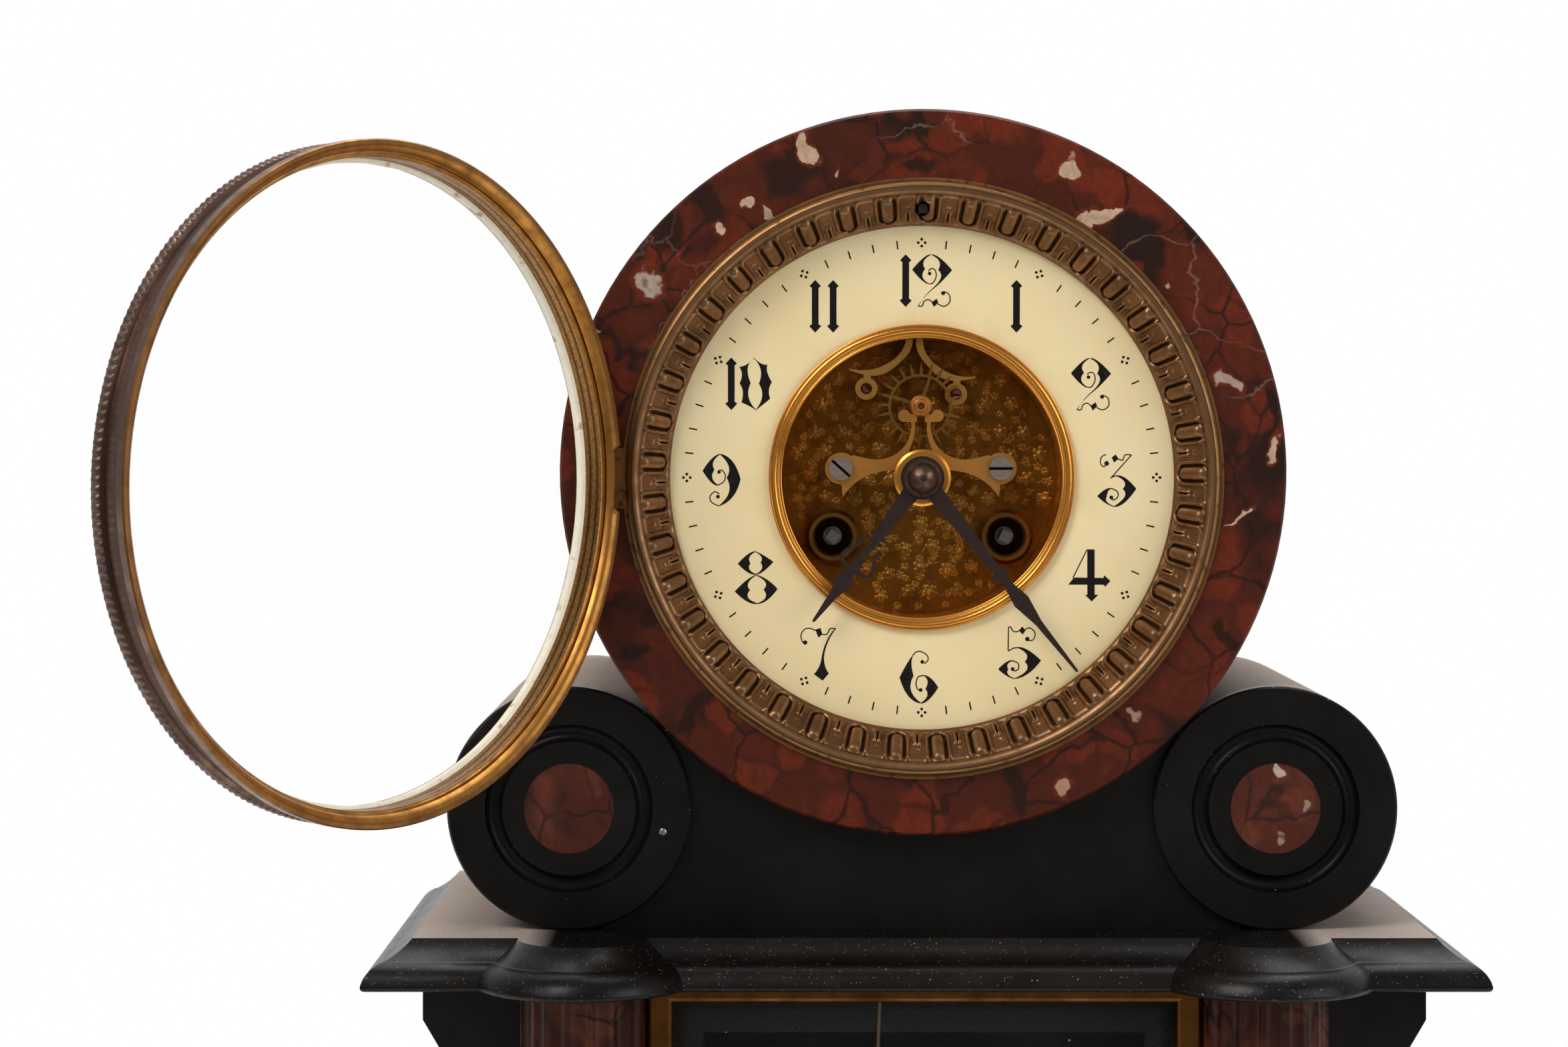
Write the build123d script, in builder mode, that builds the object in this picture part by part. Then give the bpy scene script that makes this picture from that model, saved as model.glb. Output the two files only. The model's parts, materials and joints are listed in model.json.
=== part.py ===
from build123d import *
import os
from math import atan2, cos, degrees, hypot, pi, radians, sin, sqrt, tan

os.makedirs("parts", exist_ok=True)

# Drum-head mantel clock of slate and red marble, its bezel standing open.
# Millimetres, +Z up. The dial faces -Y and +X is on the right of someone who looks at it.
# The origin is the middle of the plinth's underside.

# Plinth, moulded slabs and lower case
plinth_width = 290.0
plinth_depth = 155.0
plinth_height = 36.0
plinth_chamfer = 5.0
slab_width = 252.0
slab_height = 11.5
slab_reach = 11.5
case_width = 215.0
case_depth = 124.0
case_height = 146.0
case_back_inset = 1.0
shoulder_width = 246.8
shoulder_drop = 8.6
shoulder_height = 27.0
wall = 10.0
back_wall_thickness = 8.0

# Columns and window
column_radius = 15.4
column_spacing = 168.0
column_flutes = 18
flute_radius = 3.0
flute_depth = 0.9
column_base_radius = 15.8
column_base_height = 12.0
column_base_round = 0.7
bow_margin = 0.5
window_rail = 14.0
window_clearance = 0.1
frame_width = 6.5
frame_top_width = 4.2
frame_depth = 8.0
frame_proud = 1.6
frame_round = 1.4
glass_edge = 2.6
glass_overlap = 2.0
glass_bevel = 7.5
glass_bevel_drop = 2.4

# Scrolls and drum
scroll_radius = 30.5
scroll_spacing = 176.6
scroll_flat = 0.15
scroll_setback = 13.0
scroll_edge = 0.5
groove_outer_radius = 21.0
groove_inner_radius = 16.7
groove_depth = 3.0
inlay_radius = 11.3
inlay_depth = 3.0
block_recess = 3.0
block_top_gap = 2.0
block_foot_gap = 8.0
block_foot_height = 12.0
bed_gap = 0.02
drum_radius = 89.2
drum_rise = 114.5
drum_bore = 70.5
face_radius = 90.2
face_thickness = 6.0
face_edge = 0.6
dial_drop = 1.5

# Dial
dial_recess = 9.0
flange_radius = 74.6
flange_thickness = 0.8
bead_height = 2.4
bead_outer_radius = 73.6
bead_inner_radius = 70.2
enamel_radius = 63.5
enamel_lip = 1.2
enamel_thickness = 1.5
enamel_dish = 1.2
enamel_overlap = 1.1
surround_wall = 0.8
centre_ring_radius = 38.2
centre_opening = 35.0
centre_wall = 1.1
stamp_recess = 17.0
stamp_thickness = 0.9
regulator_height = 67.0
regulator_radius = 1.2
regulator_square = 2.2
regulator_hole = 2.2
winding_x = 22.05
winding_drop = 15.35
winding_square = 2.9
going_square_turn = 25.0
strike_square_turn = 35.0
collar_radius = 7.0
collar_bore = 4.6
collar_height = 2.6

# Bezel and its hinge
bezel_radius = 78.5
bezel_front_radius = 77.5
bezel_depth = 12.0
bezel_opening = 129.0
bezel_inner_radius = 75.6
bezel_seat_radius = 74.4
bezel_lip_radius = 72.2
bezel_lip = 1.2
bezel_glass_thickness = 2.0
putty_width = 2.0
hinge_offset = 78.3
hinge_height = 5.0
knuckle_radius = 1.8
knuckle_length = 15.0
side_knuckle_length = 9.0
knuckle_gap = 0.3
pin_radius = 0.8
running_gap = 0.06

# Hands
hour_hand_length = 45.2
hour_hand_angle = 217.3
minute_hand_length = 61.6
minute_hand_angle = 141.4
hand_thickness = 0.8
hand_height = 4.5
hand_spacing = 2.1
hour_hub = 5.4
minute_hub = 5.0
collet_radius = 7.1
nut_radius = 4.1
nut_height = 3.6

# Movement plates and trains
motion_space = 9.0
plate_radius = 46.0
plate_thickness = 2.5
plate_tongue = 9.0
plate_tongue_top = 69.5
pillar_length = 32.5
pillar_radius = 3.0
arbor_radius = 1.1
cannon_radius = 2.1
hour_pipe_radius = 3.2
motion_module = 0.5
cannon_teeth = 12
minute_wheel_teeth = 36
minute_pinion_teeth = 10
hour_wheel_teeth = 40
barrel_teeth = 72
centre_pinion_teeth = 12
barrel_radius = 19.6
barrel_length = 24.0
train_module = 0.45
centre_wheel_teeth = 64
third_pinion_teeth = 8
third_module = 0.32
third_wheel_teeth = 60
winding_arbor_radius = 2.4
third_wheel_depth = 19.0
third_wheel_thickness = 1.2
third_pinion_length = 3.0
third_pinion_end = 1.5
barrel_depth = 5.0
barrel_flange = 3.0
stud_length = 7.5

# Escapement
escape_height = 18.0
escape_teeth = 24
escape_phase = 13.0
escape_spoke_phase = 71.0
escape_tip_radius = 11.1
escape_rim_radius = 8.1
escape_rim_width = 0.7
escape_thickness = 1.2
escape_pinion_radius = 1.45
escape_pinion_length = 3.5
escape_pinion_lead = 1.0
mesh_gap = 0.3
pallet_height = 56.0
pallet_radius = 36.2
pallet_half_angle = 18.4
pallet_tilt = 3.6
collet_ring_radius = 2.85
jewel_radius = 1.1
anchor_thickness = 1.2
anchor_stem_width = 1.7
anchor_stem_gap = 0.9
cock_screw_x = 20.15
cock_screw_height = 2.2
cock_thickness = 1.5
cock_boss_radius = 2.75
cock_standoff = 12.0
cock_gap = 3.0
screw_head_radius = 3.0
screw_head_height = 1.3

# Pendulum, gong and back
pendulum_lean = 2.4
pendulum_swing = 4.8
pendulum_length = 250.0
pendulum_gap = 11.5
rod_radius = 1.1
bob_radius = 21.0
bob_thickness = 9.0
rating_nut_radius = 3.5
rating_nut_height = 4.0
slot_clearance = 2.5
slot_depth = 13.0
gong_wire = 2.6
gong_first_radius = 42.0
gong_step = 2.8
gong_half_turns = 5
gong_gap = 9.0
hammer_x = 26.0
hammer_drop = 22.0
hammer_head_radius = 3.6
hammer_reach = 19.5
hammer_angle = 55.0
back_ring_inner = 60.0
back_ring_thickness = 4.0
back_ring_radius = 74.0
door_radius = 66.0
door_thickness = 1.2
door_gap = 0.2
door_hinge_offset = 68.5
door_knuckle_radius = 1.5
door_knuckle_length = 10.0
knob_inset = 7.9
knob_stem_radius = 1.4
knob_stem_length = 3.5
knob_radius = 3.6
knob_length = 7.6
knob_round = 1.6
strap_width = 8.0
strap_thickness = 1.5
strap_foot_thickness = 2.0
strap_screw_shank = 1.0
strap_screw_head = 1.9
strap_screw_head_height = 1.2
strap_screw_length = 4.0
screw_slot_width = 0.6

# Levels and depths that follow from the sizes above
y_back = plinth_depth / 2 - case_back_inset
y_front = y_back - case_depth
z_body = plinth_height + slab_height
z_cornice = z_body + case_height
z_top = z_cornice + slab_height
scroll_y = y_front + scroll_setback
scroll_z = z_top + scroll_radius - scroll_flat
drum_z = z_top + drum_rise
dial_z = drum_z - dial_drop
face_y = scroll_y - face_thickness
dial_y = face_y + dial_recess
flange_y = face_y - flange_thickness
stamp_y = dial_y + stamp_recess
front_plate_y = stamp_y + motion_space
back_plate_y = front_plate_y + plate_thickness + pillar_length
back_plate_end = back_plate_y + plate_thickness
pendulum_y = back_plate_end + pendulum_gap
ring_y = y_back - back_ring_thickness
gong_y = ring_y - gong_gap
pivot_z = dial_z + pallet_height
column_x = column_spacing / 2
bow_radius = column_radius + bow_margin
window_half = column_x - column_radius - window_clearance
enamel_seat = enamel_radius + enamel_overlap
surround_outer = enamel_seat + window_clearance + surround_wall
slot_half = (pivot_z - z_cornice) * tan(radians(pendulum_swing)) + rod_radius + slot_clearance


def front_view(y, x=0.0, z=dial_z, turn=0.0):
    """Plane that faces the viewer at depth y; turn is clockwise as the viewer sees it."""
    side = (cos(radians(turn)), 0, -sin(radians(turn)))
    return Plane(origin=(x, y, z), x_dir=side, z_dir=(0, -1, 0))


def lathe(x=0.0, z=dial_z):
    """Plane for turned profiles: first coordinate is the depth Y, second the radius."""
    return Plane(origin=(x, 0, z), x_dir=(0, 1, 0), z_dir=(1, 0, 0))


def lathe_axis(x=0.0, z=dial_z):
    """Axis that such a profile turns about, running from front to back."""
    return Axis((x, 0, z), (0, 1, 0))


def rod(x, z, y_start, y_end, radius, mode=Mode.ADD):
    """Round bar from front to back, or a hole for one, in the part that is open."""
    with BuildSketch(front_view(y_start, x, z)) as end:
        Circle(radius)
    extrude(end.sketch, amount=y_start - y_end, mode=mode)


def cyma_edge(start, out, drop):
    """Cyma edge from the top edge at start: hollow above, round nose and flat underside below."""
    x, z = start
    hollow_end = (x + 0.54 * out, z - 0.42 * drop)
    nose = (x + out, z - 0.88 * drop)
    under = (x + 0.9 * out, z - drop)
    ThreePointArc((x, z), (x + 0.24 * out, z - 0.235 * drop), hollow_end)
    ThreePointArc(hollow_end, (x + 0.87 * out, z - 0.62 * drop), nose)
    ThreePointArc(nose, (x + 0.975 * out, z - 0.965 * drop), under)
    return under


def moulded_slab(z_upper):
    """Slate slab with the cyma on three sides, bowed out over the columns."""
    half = slab_width / 2
    z_lower = z_upper - slab_height
    with BuildSketch(Plane.XZ) as front_profile:
        with BuildLine():
            Line((0, z_upper), (half, z_upper))
            under = cyma_edge((half, z_upper), slab_reach, slab_height)
            Line(under, (0, z_lower))
            mirror(about=Plane.YZ)
        make_face()
    extrude(front_profile.sketch, amount=plinth_depth, both=True)
    with BuildSketch(Plane.YZ) as side_profile:
        with BuildLine():
            Line((y_back, z_upper), (y_front, z_upper))
            under = cyma_edge((y_front, z_upper), -slab_reach, slab_height)
            Polyline(under, (y_back, z_lower), (y_back, z_upper))
        make_face()
    extrude(side_profile.sketch, amount=plinth_width, both=True, mode=Mode.INTERSECT)
    for x in (-column_x, column_x):
        with BuildSketch(front_view(y_front, x, 0)) as bow_profile:
            with BuildLine():
                Line((0, z_upper), (bow_radius, z_upper))
                under = cyma_edge((bow_radius, z_upper), slab_reach, slab_height)
                Polyline(under, (0, z_lower), (0, z_upper))
            make_face()
        revolve(bow_profile.sketch, axis=Axis((x, y_front, 0), (0, 0, 1)))


def case_outline():
    """Front outline of the lower case, flaring out to its shoulders, drawn about the middle line."""
    half = case_width / 2
    shoulder = shoulder_width / 2
    z_shoulder = z_cornice - shoulder_drop
    z_waist = z_shoulder - shoulder_height
    return [
        (half, z_body),
        (half, z_waist),
        (shoulder, z_shoulder),
        (shoulder, z_cornice),
    ]


def pendulum_slot(z_low, z_high):
    """Slot that lets the pendulum swing through a slab, block or drum."""
    with BuildSketch(Plane.XY.offset(z_low)) as slot:
        with Locations((0, pendulum_y)):
            SlotOverall(2 * slot_half + slot_depth, slot_depth)
    extrude(slot.sketch, amount=z_high - z_low, mode=Mode.SUBTRACT)


def gear_face(teeth, module, tooth_share, phase=0.0):
    """Disc with straight-flanked teeth, one of them centred at the angle phase."""
    pitch_radius = teeth * module / 2
    root = pitch_radius - 1.2 * module
    tip = pitch_radius + 0.8 * module
    tooth_width = tooth_share * pi * module
    root_half = 0.62 * tooth_width
    tip_half = 0.22 * tooth_width
    bury = 0.3 * module
    tooth = [(root - bury, -root_half), (tip, -tip_half), (tip, tip_half), (root - bury, root_half)]
    Circle(root)
    with PolarLocations(0, teeth, start_angle=phase):
        Polygon(*tooth, align=None)


def turned(points, x=0.0, z=dial_z, mode=Mode.ADD):
    """Turned piece with its axis from front to back, from corners given as (depth, radius)."""
    with BuildSketch(lathe(x, z)) as profile:
        with BuildLine():
            Polyline(*points, close=True)
        make_face()
    revolve(profile.sketch, axis=lathe_axis(x, z), mode=mode)


def toothed(teeth, module, tooth_share, phase, x, z, y_start, y_end):
    """Toothed wheel or pinion between two depths, in the part that is open."""
    with BuildSketch(front_view(y_start, x, z)) as wheel:
        gear_face(teeth, module, tooth_share, phase)
    extrude(wheel.sketch, amount=y_start - y_end)


def block(x_range, y_range, z_range, mode=Mode.ADD):
    """Rectangular block between two values on each axis."""
    with Locations((x_range[0], y_range[0], z_range[0])):
        Box(
            x_range[1] - x_range[0],
            y_range[1] - y_range[0],
            z_range[1] - z_range[0],
            align=(Align.MIN, Align.MIN, Align.MIN),
            mode=mode,
        )


# Plinth: one block of slate with its upper edge chamfered
with BuildPart() as base_plinth:
    Box(plinth_width, plinth_depth, plinth_height, align=(Align.CENTER, Align.CENTER, Align.MIN))
    chamfer(base_plinth.faces().sort_by(Axis.Z)[-1].edges(), plinth_chamfer)
base_plinth.part.label = "base_plinth"
export_step(base_plinth.part, "parts/base_plinth.step")

# Base moulding: slate slab with a cyma edge, the floor of the case
with BuildPart() as base_moulding:
    moulded_slab(z_body)
base_moulding.part.label = "base_moulding"
export_step(base_moulding.part, "parts/base_moulding.step")

# Front of the case: slate panel with sloping shoulders and the window opening
with BuildPart() as case_front:
    with BuildSketch(front_view(y_front, z=0)):
        with BuildLine():
            Polyline((0, z_body), *case_outline(), (0, z_cornice))
            mirror(about=Plane.YZ)
        make_face()
        with Locations((0, z_body + window_rail)):
            Rectangle(
                2 * window_half,
                case_height - window_rail,
                align=(Align.CENTER, Align.MIN),
                mode=Mode.SUBTRACT,
            )
    extrude(amount=-wall)
case_front.part.label = "case_front"
export_step(case_front.part, "parts/case_front.step")

# Side walls: slate, flaring out at the top like the front
with BuildPart() as side_wall_left:
    with BuildSketch(front_view(y_front + wall, z=0)):
        with BuildLine():
            inner_x = case_width / 2 - wall
            outside = [(-x, z) for x, z in case_outline()]
            Polyline((-inner_x, z_body), *outside, (-inner_x, z_cornice), close=True)
        make_face()
    extrude(amount=-(case_depth - wall - back_wall_thickness))
side_wall_left.part.label = "side_wall_left"
export_step(side_wall_left.part, "parts/side_wall_left.step")

with BuildPart() as side_wall_right:
    with BuildSketch(front_view(y_front + wall, z=0)):
        with BuildLine():
            inner_x = case_width / 2 - wall
            Polyline((inner_x, z_body), *case_outline(), (inner_x, z_cornice), close=True)
        make_face()
    extrude(amount=-(case_depth - wall - back_wall_thickness))
side_wall_right.part.label = "side_wall_right"
export_step(side_wall_right.part, "parts/side_wall_right.step")

# Back wall: slate panel that closes the lower case
with BuildPart() as back_wall:
    with BuildSketch(front_view(y_back - back_wall_thickness, z=0)):
        with BuildLine():
            Polyline((0, z_body), *case_outline(), (0, z_cornice))
            mirror(about=Plane.YZ)
        make_face()
    extrude(amount=-back_wall_thickness)
back_wall.part.label = "back_wall"
export_step(back_wall.part, "parts/back_wall.step")

# Cornice: the upper moulded slab, slotted for the pendulum
with BuildPart() as cornice:
    moulded_slab(z_top)
    pendulum_slot(z_cornice, z_top)
cornice.part.label = "cornice"
export_step(cornice.part, "parts/cornice.step")


def fluted_half(x):
    """Half-round fluted column against the front panel, centred at x."""
    with BuildSketch(Plane.XY.offset(z_body + column_base_height)) as section:
        with Locations((x, y_front)):
            Circle(column_radius)
            flute_circle = column_radius + flute_radius - flute_depth
            with PolarLocations(flute_circle, column_flutes, start_angle=-90):
                Circle(flute_radius, mode=Mode.SUBTRACT)
            Rectangle(
                4 * column_radius,
                2 * column_radius,
                align=(Align.CENTER, Align.MIN),
                mode=Mode.SUBTRACT,
            )
    extrude(section.sketch, amount=case_height - column_base_height)


# Half columns: red marble, fluted
with BuildPart() as column_left:
    fluted_half(-column_x)
column_left.part.label = "column_left"
export_step(column_left.part, "parts/column_left.step")

with BuildPart() as column_right:
    fluted_half(column_x)
column_right.part.label = "column_right"
export_step(column_right.part, "parts/column_right.step")

# Column bases: two half-round slate blocks
with BuildPart() as column_bases:
    with BuildSketch(Plane.XY.offset(z_body)):
        with Locations((-column_x, y_front), (column_x, y_front)):
            Circle(column_base_radius)
        with Locations((0, y_front)):
            Rectangle(
                plinth_width,
                2 * column_base_radius,
                align=(Align.CENTER, Align.MIN),
                mode=Mode.SUBTRACT,
            )
    extrude(amount=column_base_height)
    rims = column_bases.edges().filter_by(GeomType.CIRCLE).group_by(Axis.Z)[-1]
    fillet(rims, column_base_round)
column_bases.part.label = "column_bases"
export_step(column_bases.part, "parts/column_bases.step")

# Window frame: brass strips with rounded fronts, rebated at the back for the glass
frame_y = y_front - frame_proud
frame_half = window_half - window_clearance
frame_bottom = z_body + window_rail + window_clearance
frame_top = z_cornice - window_clearance
frame_height = frame_top - frame_bottom
frame_middle = (frame_top + frame_bottom) / 2
opening_half = frame_half - frame_width
opening_top = frame_top - frame_top_width
opening_bottom = frame_bottom + frame_width
opening_height = opening_top - opening_bottom
opening_middle = (opening_top + opening_bottom) / 2
glass_y = frame_y + frame_depth - glass_edge
with BuildPart() as window_frame:
    with BuildSketch(front_view(frame_y, z=frame_middle)):
        Rectangle(2 * frame_half, frame_height)
        with Locations((0, opening_middle - frame_middle)):
            Rectangle(2 * opening_half, opening_height, mode=Mode.SUBTRACT)
    extrude(amount=-frame_depth)
    fillet(window_frame.faces().sort_by(Axis.Y)[0].edges(), frame_round)
    with BuildSketch(front_view(glass_y, z=opening_middle)):
        Rectangle(2 * (opening_half + glass_overlap), opening_height + 2 * glass_overlap)
    extrude(amount=-glass_edge, mode=Mode.SUBTRACT)
window_frame.part.label = "window_frame"
export_step(window_frame.part, "parts/window_frame.step")

# Window glass: plate with a wide bevel, seated in the frame's rebate
with BuildPart() as window_glass:
    rim_half = opening_half + glass_overlap - window_clearance
    rim_height = opening_height + 2 * (glass_overlap - window_clearance)
    raised_half = opening_half - window_clearance
    raised_height = opening_height - 2 * window_clearance
    with BuildSketch(front_view(glass_y, z=opening_middle)):
        Rectangle(2 * rim_half, rim_height)
    extrude(amount=-glass_edge)
    with BuildSketch(front_view(glass_y, z=opening_middle)):
        Rectangle(2 * raised_half, raised_height)
    with BuildSketch(front_view(glass_y - glass_bevel_drop, z=opening_middle)):
        Rectangle(2 * (raised_half - glass_bevel), raised_height - 2 * glass_bevel)
    loft()
window_glass.part.label = "window_glass"
export_step(window_glass.part, "parts/window_glass.step")


def scroll_body(x):
    """Scroll end: slate roller with a hollowed ring and a round recess in its face."""
    front = scroll_y
    groove_middle = (groove_outer_radius + groove_inner_radius) / 2
    with BuildSketch(lathe(x, scroll_z)) as profile:
        with BuildLine():
            Polyline(
                (front + inlay_depth, 0),
                (y_back, 0),
                (y_back, scroll_radius),
                (front + scroll_edge, scroll_radius),
                (front, scroll_radius - scroll_edge),
                (front, groove_outer_radius),
            )
            ThreePointArc(
                (front, groove_outer_radius),
                (front + groove_depth, groove_middle),
                (front, groove_inner_radius),
            )
            Polyline(
                (front, groove_inner_radius),
                (front, inlay_radius),
                (front + inlay_depth, inlay_radius),
                (front + inlay_depth, 0),
            )
        make_face()
    revolve(profile.sketch, axis=lathe_axis(x, scroll_z))
    reach = 2 * scroll_radius
    block((x - reach, x + reach), (y_front, y_back + wall), (z_top - reach, z_top), Mode.SUBTRACT)


# Scrolls: slate, flattened where they stand on the cornice
with BuildPart() as scroll_left:
    scroll_body(-scroll_spacing / 2)
scroll_left.part.label = "scroll_left"
export_step(scroll_left.part, "parts/scroll_left.step")

with BuildPart() as scroll_right:
    scroll_body(scroll_spacing / 2)
scroll_right.part.label = "scroll_right"
export_step(scroll_right.part, "parts/scroll_right.step")

# Inlays: two red marble discs let into the scrolls
with BuildPart() as scroll_inlays:
    for side in (-1, 1):
        rod(side * scroll_spacing / 2, scroll_z, scroll_y, scroll_y + inlay_depth, inlay_radius - 0.05)
scroll_inlays.part.label = "scroll_inlays"
export_step(scroll_inlays.part, "parts/scroll_inlays.step")

# Block: slate bed under the drum, hollowed for the drum and the scrolls
with BuildPart() as scroll_block:
    centre_distance = hypot(scroll_spacing / 2, drum_z - scroll_z)
    contact_share = scroll_radius / centre_distance
    contact_x = scroll_spacing / 2 * (1 - contact_share)
    contact_z = scroll_z + (drum_z - scroll_z) * contact_share
    with BuildSketch(front_view(scroll_y + block_recess, z=0)):
        with Locations((0, z_top)):
            Rectangle(
                2 * contact_x,
                contact_z - block_top_gap - z_top,
                align=(Align.CENTER, Align.MIN),
            )
            Rectangle(
                scroll_spacing - 2 * block_foot_gap,
                block_foot_height,
                align=(Align.CENTER, Align.MIN),
            )
        with Locations((0, drum_z)):
            Circle(drum_radius + bed_gap, mode=Mode.SUBTRACT)
        with Locations((-scroll_spacing / 2, scroll_z), (scroll_spacing / 2, scroll_z)):
            Circle(scroll_radius + bed_gap, mode=Mode.SUBTRACT)
    extrude(amount=-(case_depth - scroll_setback - block_recess))
    pendulum_slot(z_top, drum_z)
scroll_block.part.label = "scroll_block"
export_step(scroll_block.part, "parts/scroll_block.step")

# Drum: slate cylinder bored for the movement
with BuildPart() as drum_body:
    rod(0, drum_z, scroll_y, y_back, drum_radius)
    rod(0, dial_z, scroll_y, y_back, drum_bore, Mode.SUBTRACT)
    rod(0, dial_z, y_back - back_ring_thickness, y_back, back_ring_radius + 0.05, Mode.SUBTRACT)
    pendulum_slot(drum_z - 1.1 * drum_radius, dial_z - 0.5 * drum_bore)
drum_body.part.label = "drum_body"
export_step(drum_body.part, "parts/drum_body.step")

# Drum face: red marble ring cemented to the front of the drum
with BuildPart() as drum_face:
    turned(
        [
            (scroll_y, 0.5 * drum_bore),
            (scroll_y, face_radius),
            (face_y + face_edge, face_radius),
            (face_y, face_radius - face_edge),
            (face_y, 0.5 * drum_bore),
        ],
        z=drum_z,
    )
    rod(0, dial_z, face_y, scroll_y, drum_bore + 0.5, Mode.SUBTRACT)
drum_face.part.label = "drum_face"
export_step(drum_face.part, "parts/drum_face.step")

# Dial surround: spun brass cone with a bead, a flange on the marble and the fixed hinge knuckle
hinge_y = flange_y - hinge_height
hinge_axis = Axis((-hinge_offset, hinge_y, dial_z), (0, 0, 1))
cone_root = 2.0
skirt_depth = 5.0
skirt_radius = surround_outer - surround_wall
with BuildPart() as dial_surround:
    with BuildSketch(lathe()):
        with BuildLine():
            bead_end = (flange_y - 0.35 * bead_height, bead_inner_radius)
            bead_top = (flange_y - bead_height, (bead_outer_radius + bead_inner_radius) / 2)
            Polyline(
                (face_y, flange_radius),
                (flange_y, flange_radius),
                (flange_y, bead_outer_radius),
            )
            ThreePointArc((flange_y, bead_outer_radius), bead_top, bead_end)
            Polyline(
                bead_end,
                (dial_y - enamel_lip, enamel_radius),
                (dial_y, enamel_radius),
                (dial_y, skirt_radius),
                (dial_y + skirt_depth, skirt_radius),
                (dial_y + skirt_depth, surround_outer),
                (dial_y - cone_root, surround_outer),
                (face_y, bead_inner_radius + 0.2),
                (face_y, flange_radius),
            )
        make_face()
    revolve(axis=lathe_axis())
    rod(0, dial_z + regulator_height, flange_y - bead_height, dial_y + 1, regulator_hole, Mode.SUBTRACT)
    half_knuckle = knuckle_length / 2
    block(
        (-hinge_offset - 1.7, -hinge_offset + 6),
        (flange_y, face_y),
        (dial_z - half_knuckle, dial_z + half_knuckle),
    )
    block(
        (-hinge_offset - 1, -hinge_offset + 1),
        (hinge_y, face_y),
        (dial_z - half_knuckle, dial_z + half_knuckle),
    )
    with Locations((-hinge_offset, hinge_y, dial_z)):
        Cylinder(knuckle_radius, knuckle_length)
        Cylinder(pin_radius + running_gap, knuckle_length, mode=Mode.SUBTRACT)
dial_surround.part.label = "dial_surround"
export_step(dial_surround.part, "parts/dial_surround.step")

# Chapter ring: enamel on copper, slightly dished
tube_radius = centre_opening + centre_wall
enamel_inner = tube_radius + 0.1
with BuildPart() as chapter_ring:
    turned(
        [
            (dial_y, enamel_seat),
            (dial_y + enamel_thickness, enamel_seat),
            (dial_y + enamel_dish + enamel_thickness, enamel_inner),
            (dial_y + enamel_dish, enamel_inner),
        ]
    )
chapter_ring.part.label = "chapter_ring"
export_step(chapter_ring.part, "parts/chapter_ring.step")

# Centre ring: gilt brass flange on the enamel with a tube back to the movement
flange_share = (enamel_seat - centre_ring_radius) / (enamel_seat - enamel_inner)
ring_back = dial_y + enamel_dish * flange_share
ring_front = dial_y - 0.6
stem_notch = 16.0
with BuildPart() as centre_ring:
    with BuildSketch(lathe()):
        with BuildLine():
            ring_edge = (ring_back - 0.5, centre_ring_radius)
            ThreePointArc(
                ring_edge,
                (ring_front, (centre_ring_radius + centre_opening) / 2),
                (ring_front + 0.9, centre_opening),
            )
            Polyline(
                (ring_front + 0.9, centre_opening),
                (front_plate_y, centre_opening),
                (front_plate_y, tube_radius),
                (ring_back, tube_radius),
                (ring_back, centre_ring_radius),
                ring_edge,
            )
        make_face()
    revolve(axis=lathe_axis())
    block(
        (-0.6 * stem_notch, 0.4 * stem_notch),
        (dial_y + 3.5, stamp_y + 2.0),
        (dial_z + 0.9 * centre_opening, dial_z + centre_ring_radius),
        Mode.SUBTRACT,
    )
centre_ring.part.label = "centre_ring"
export_step(centre_ring.part, "parts/centre_ring.step")

# Centre plate: thin brass disc, pierced for the arbors
with BuildPart() as dial_plate:
    rod(0, dial_z, stamp_y, stamp_y + stamp_thickness, centre_opening - 0.05)
    rod(0, dial_z, stamp_y, stamp_y + stamp_thickness, 1.25 * hour_pipe_radius, Mode.SUBTRACT)
    rod(0, dial_z + escape_height, stamp_y, stamp_y + stamp_thickness, 1.2, Mode.SUBTRACT)
    for side in (-1, 1):
        winding_at = (side * winding_x, dial_z - winding_drop)
        rod(*winding_at, stamp_y, stamp_y + stamp_thickness, collar_bore, Mode.SUBTRACT)
dial_plate.part.label = "dial_plate"
export_step(dial_plate.part, "parts/dial_plate.step")

# Winding collars: two turned brass rings round the winding squares
with BuildPart() as winding_collars:
    for side in (-1, 1):
        turned(
            [
                (stamp_y, collar_bore),
                (stamp_y, collar_radius),
                (stamp_y - 0.5 * collar_height, collar_radius),
                (stamp_y - collar_height, collar_radius - 0.9),
                (stamp_y - collar_height, collar_bore + 0.5),
                (stamp_y - 0.75 * collar_height, collar_bore),
            ],
            side * winding_x,
            dial_z - winding_drop,
        )
winding_collars.part.label = "winding_collars"
export_step(winding_collars.part, "parts/winding_collars.step")

# Regulator arbor: steel rod above twelve with a square end, back to the suspension
bracket_reach = 6.0
with BuildPart() as regulator_arbor:
    with BuildSketch(front_view(face_y + 1, z=dial_z + regulator_height)):
        Rectangle(regulator_square, regulator_square)
    extrude(amount=-6)
    rod(0, dial_z + regulator_height, face_y + 5, pendulum_y + bracket_reach, regulator_radius)
regulator_arbor.part.label = "regulator_arbor"
export_step(regulator_arbor.part, "parts/regulator_arbor.step")

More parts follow.
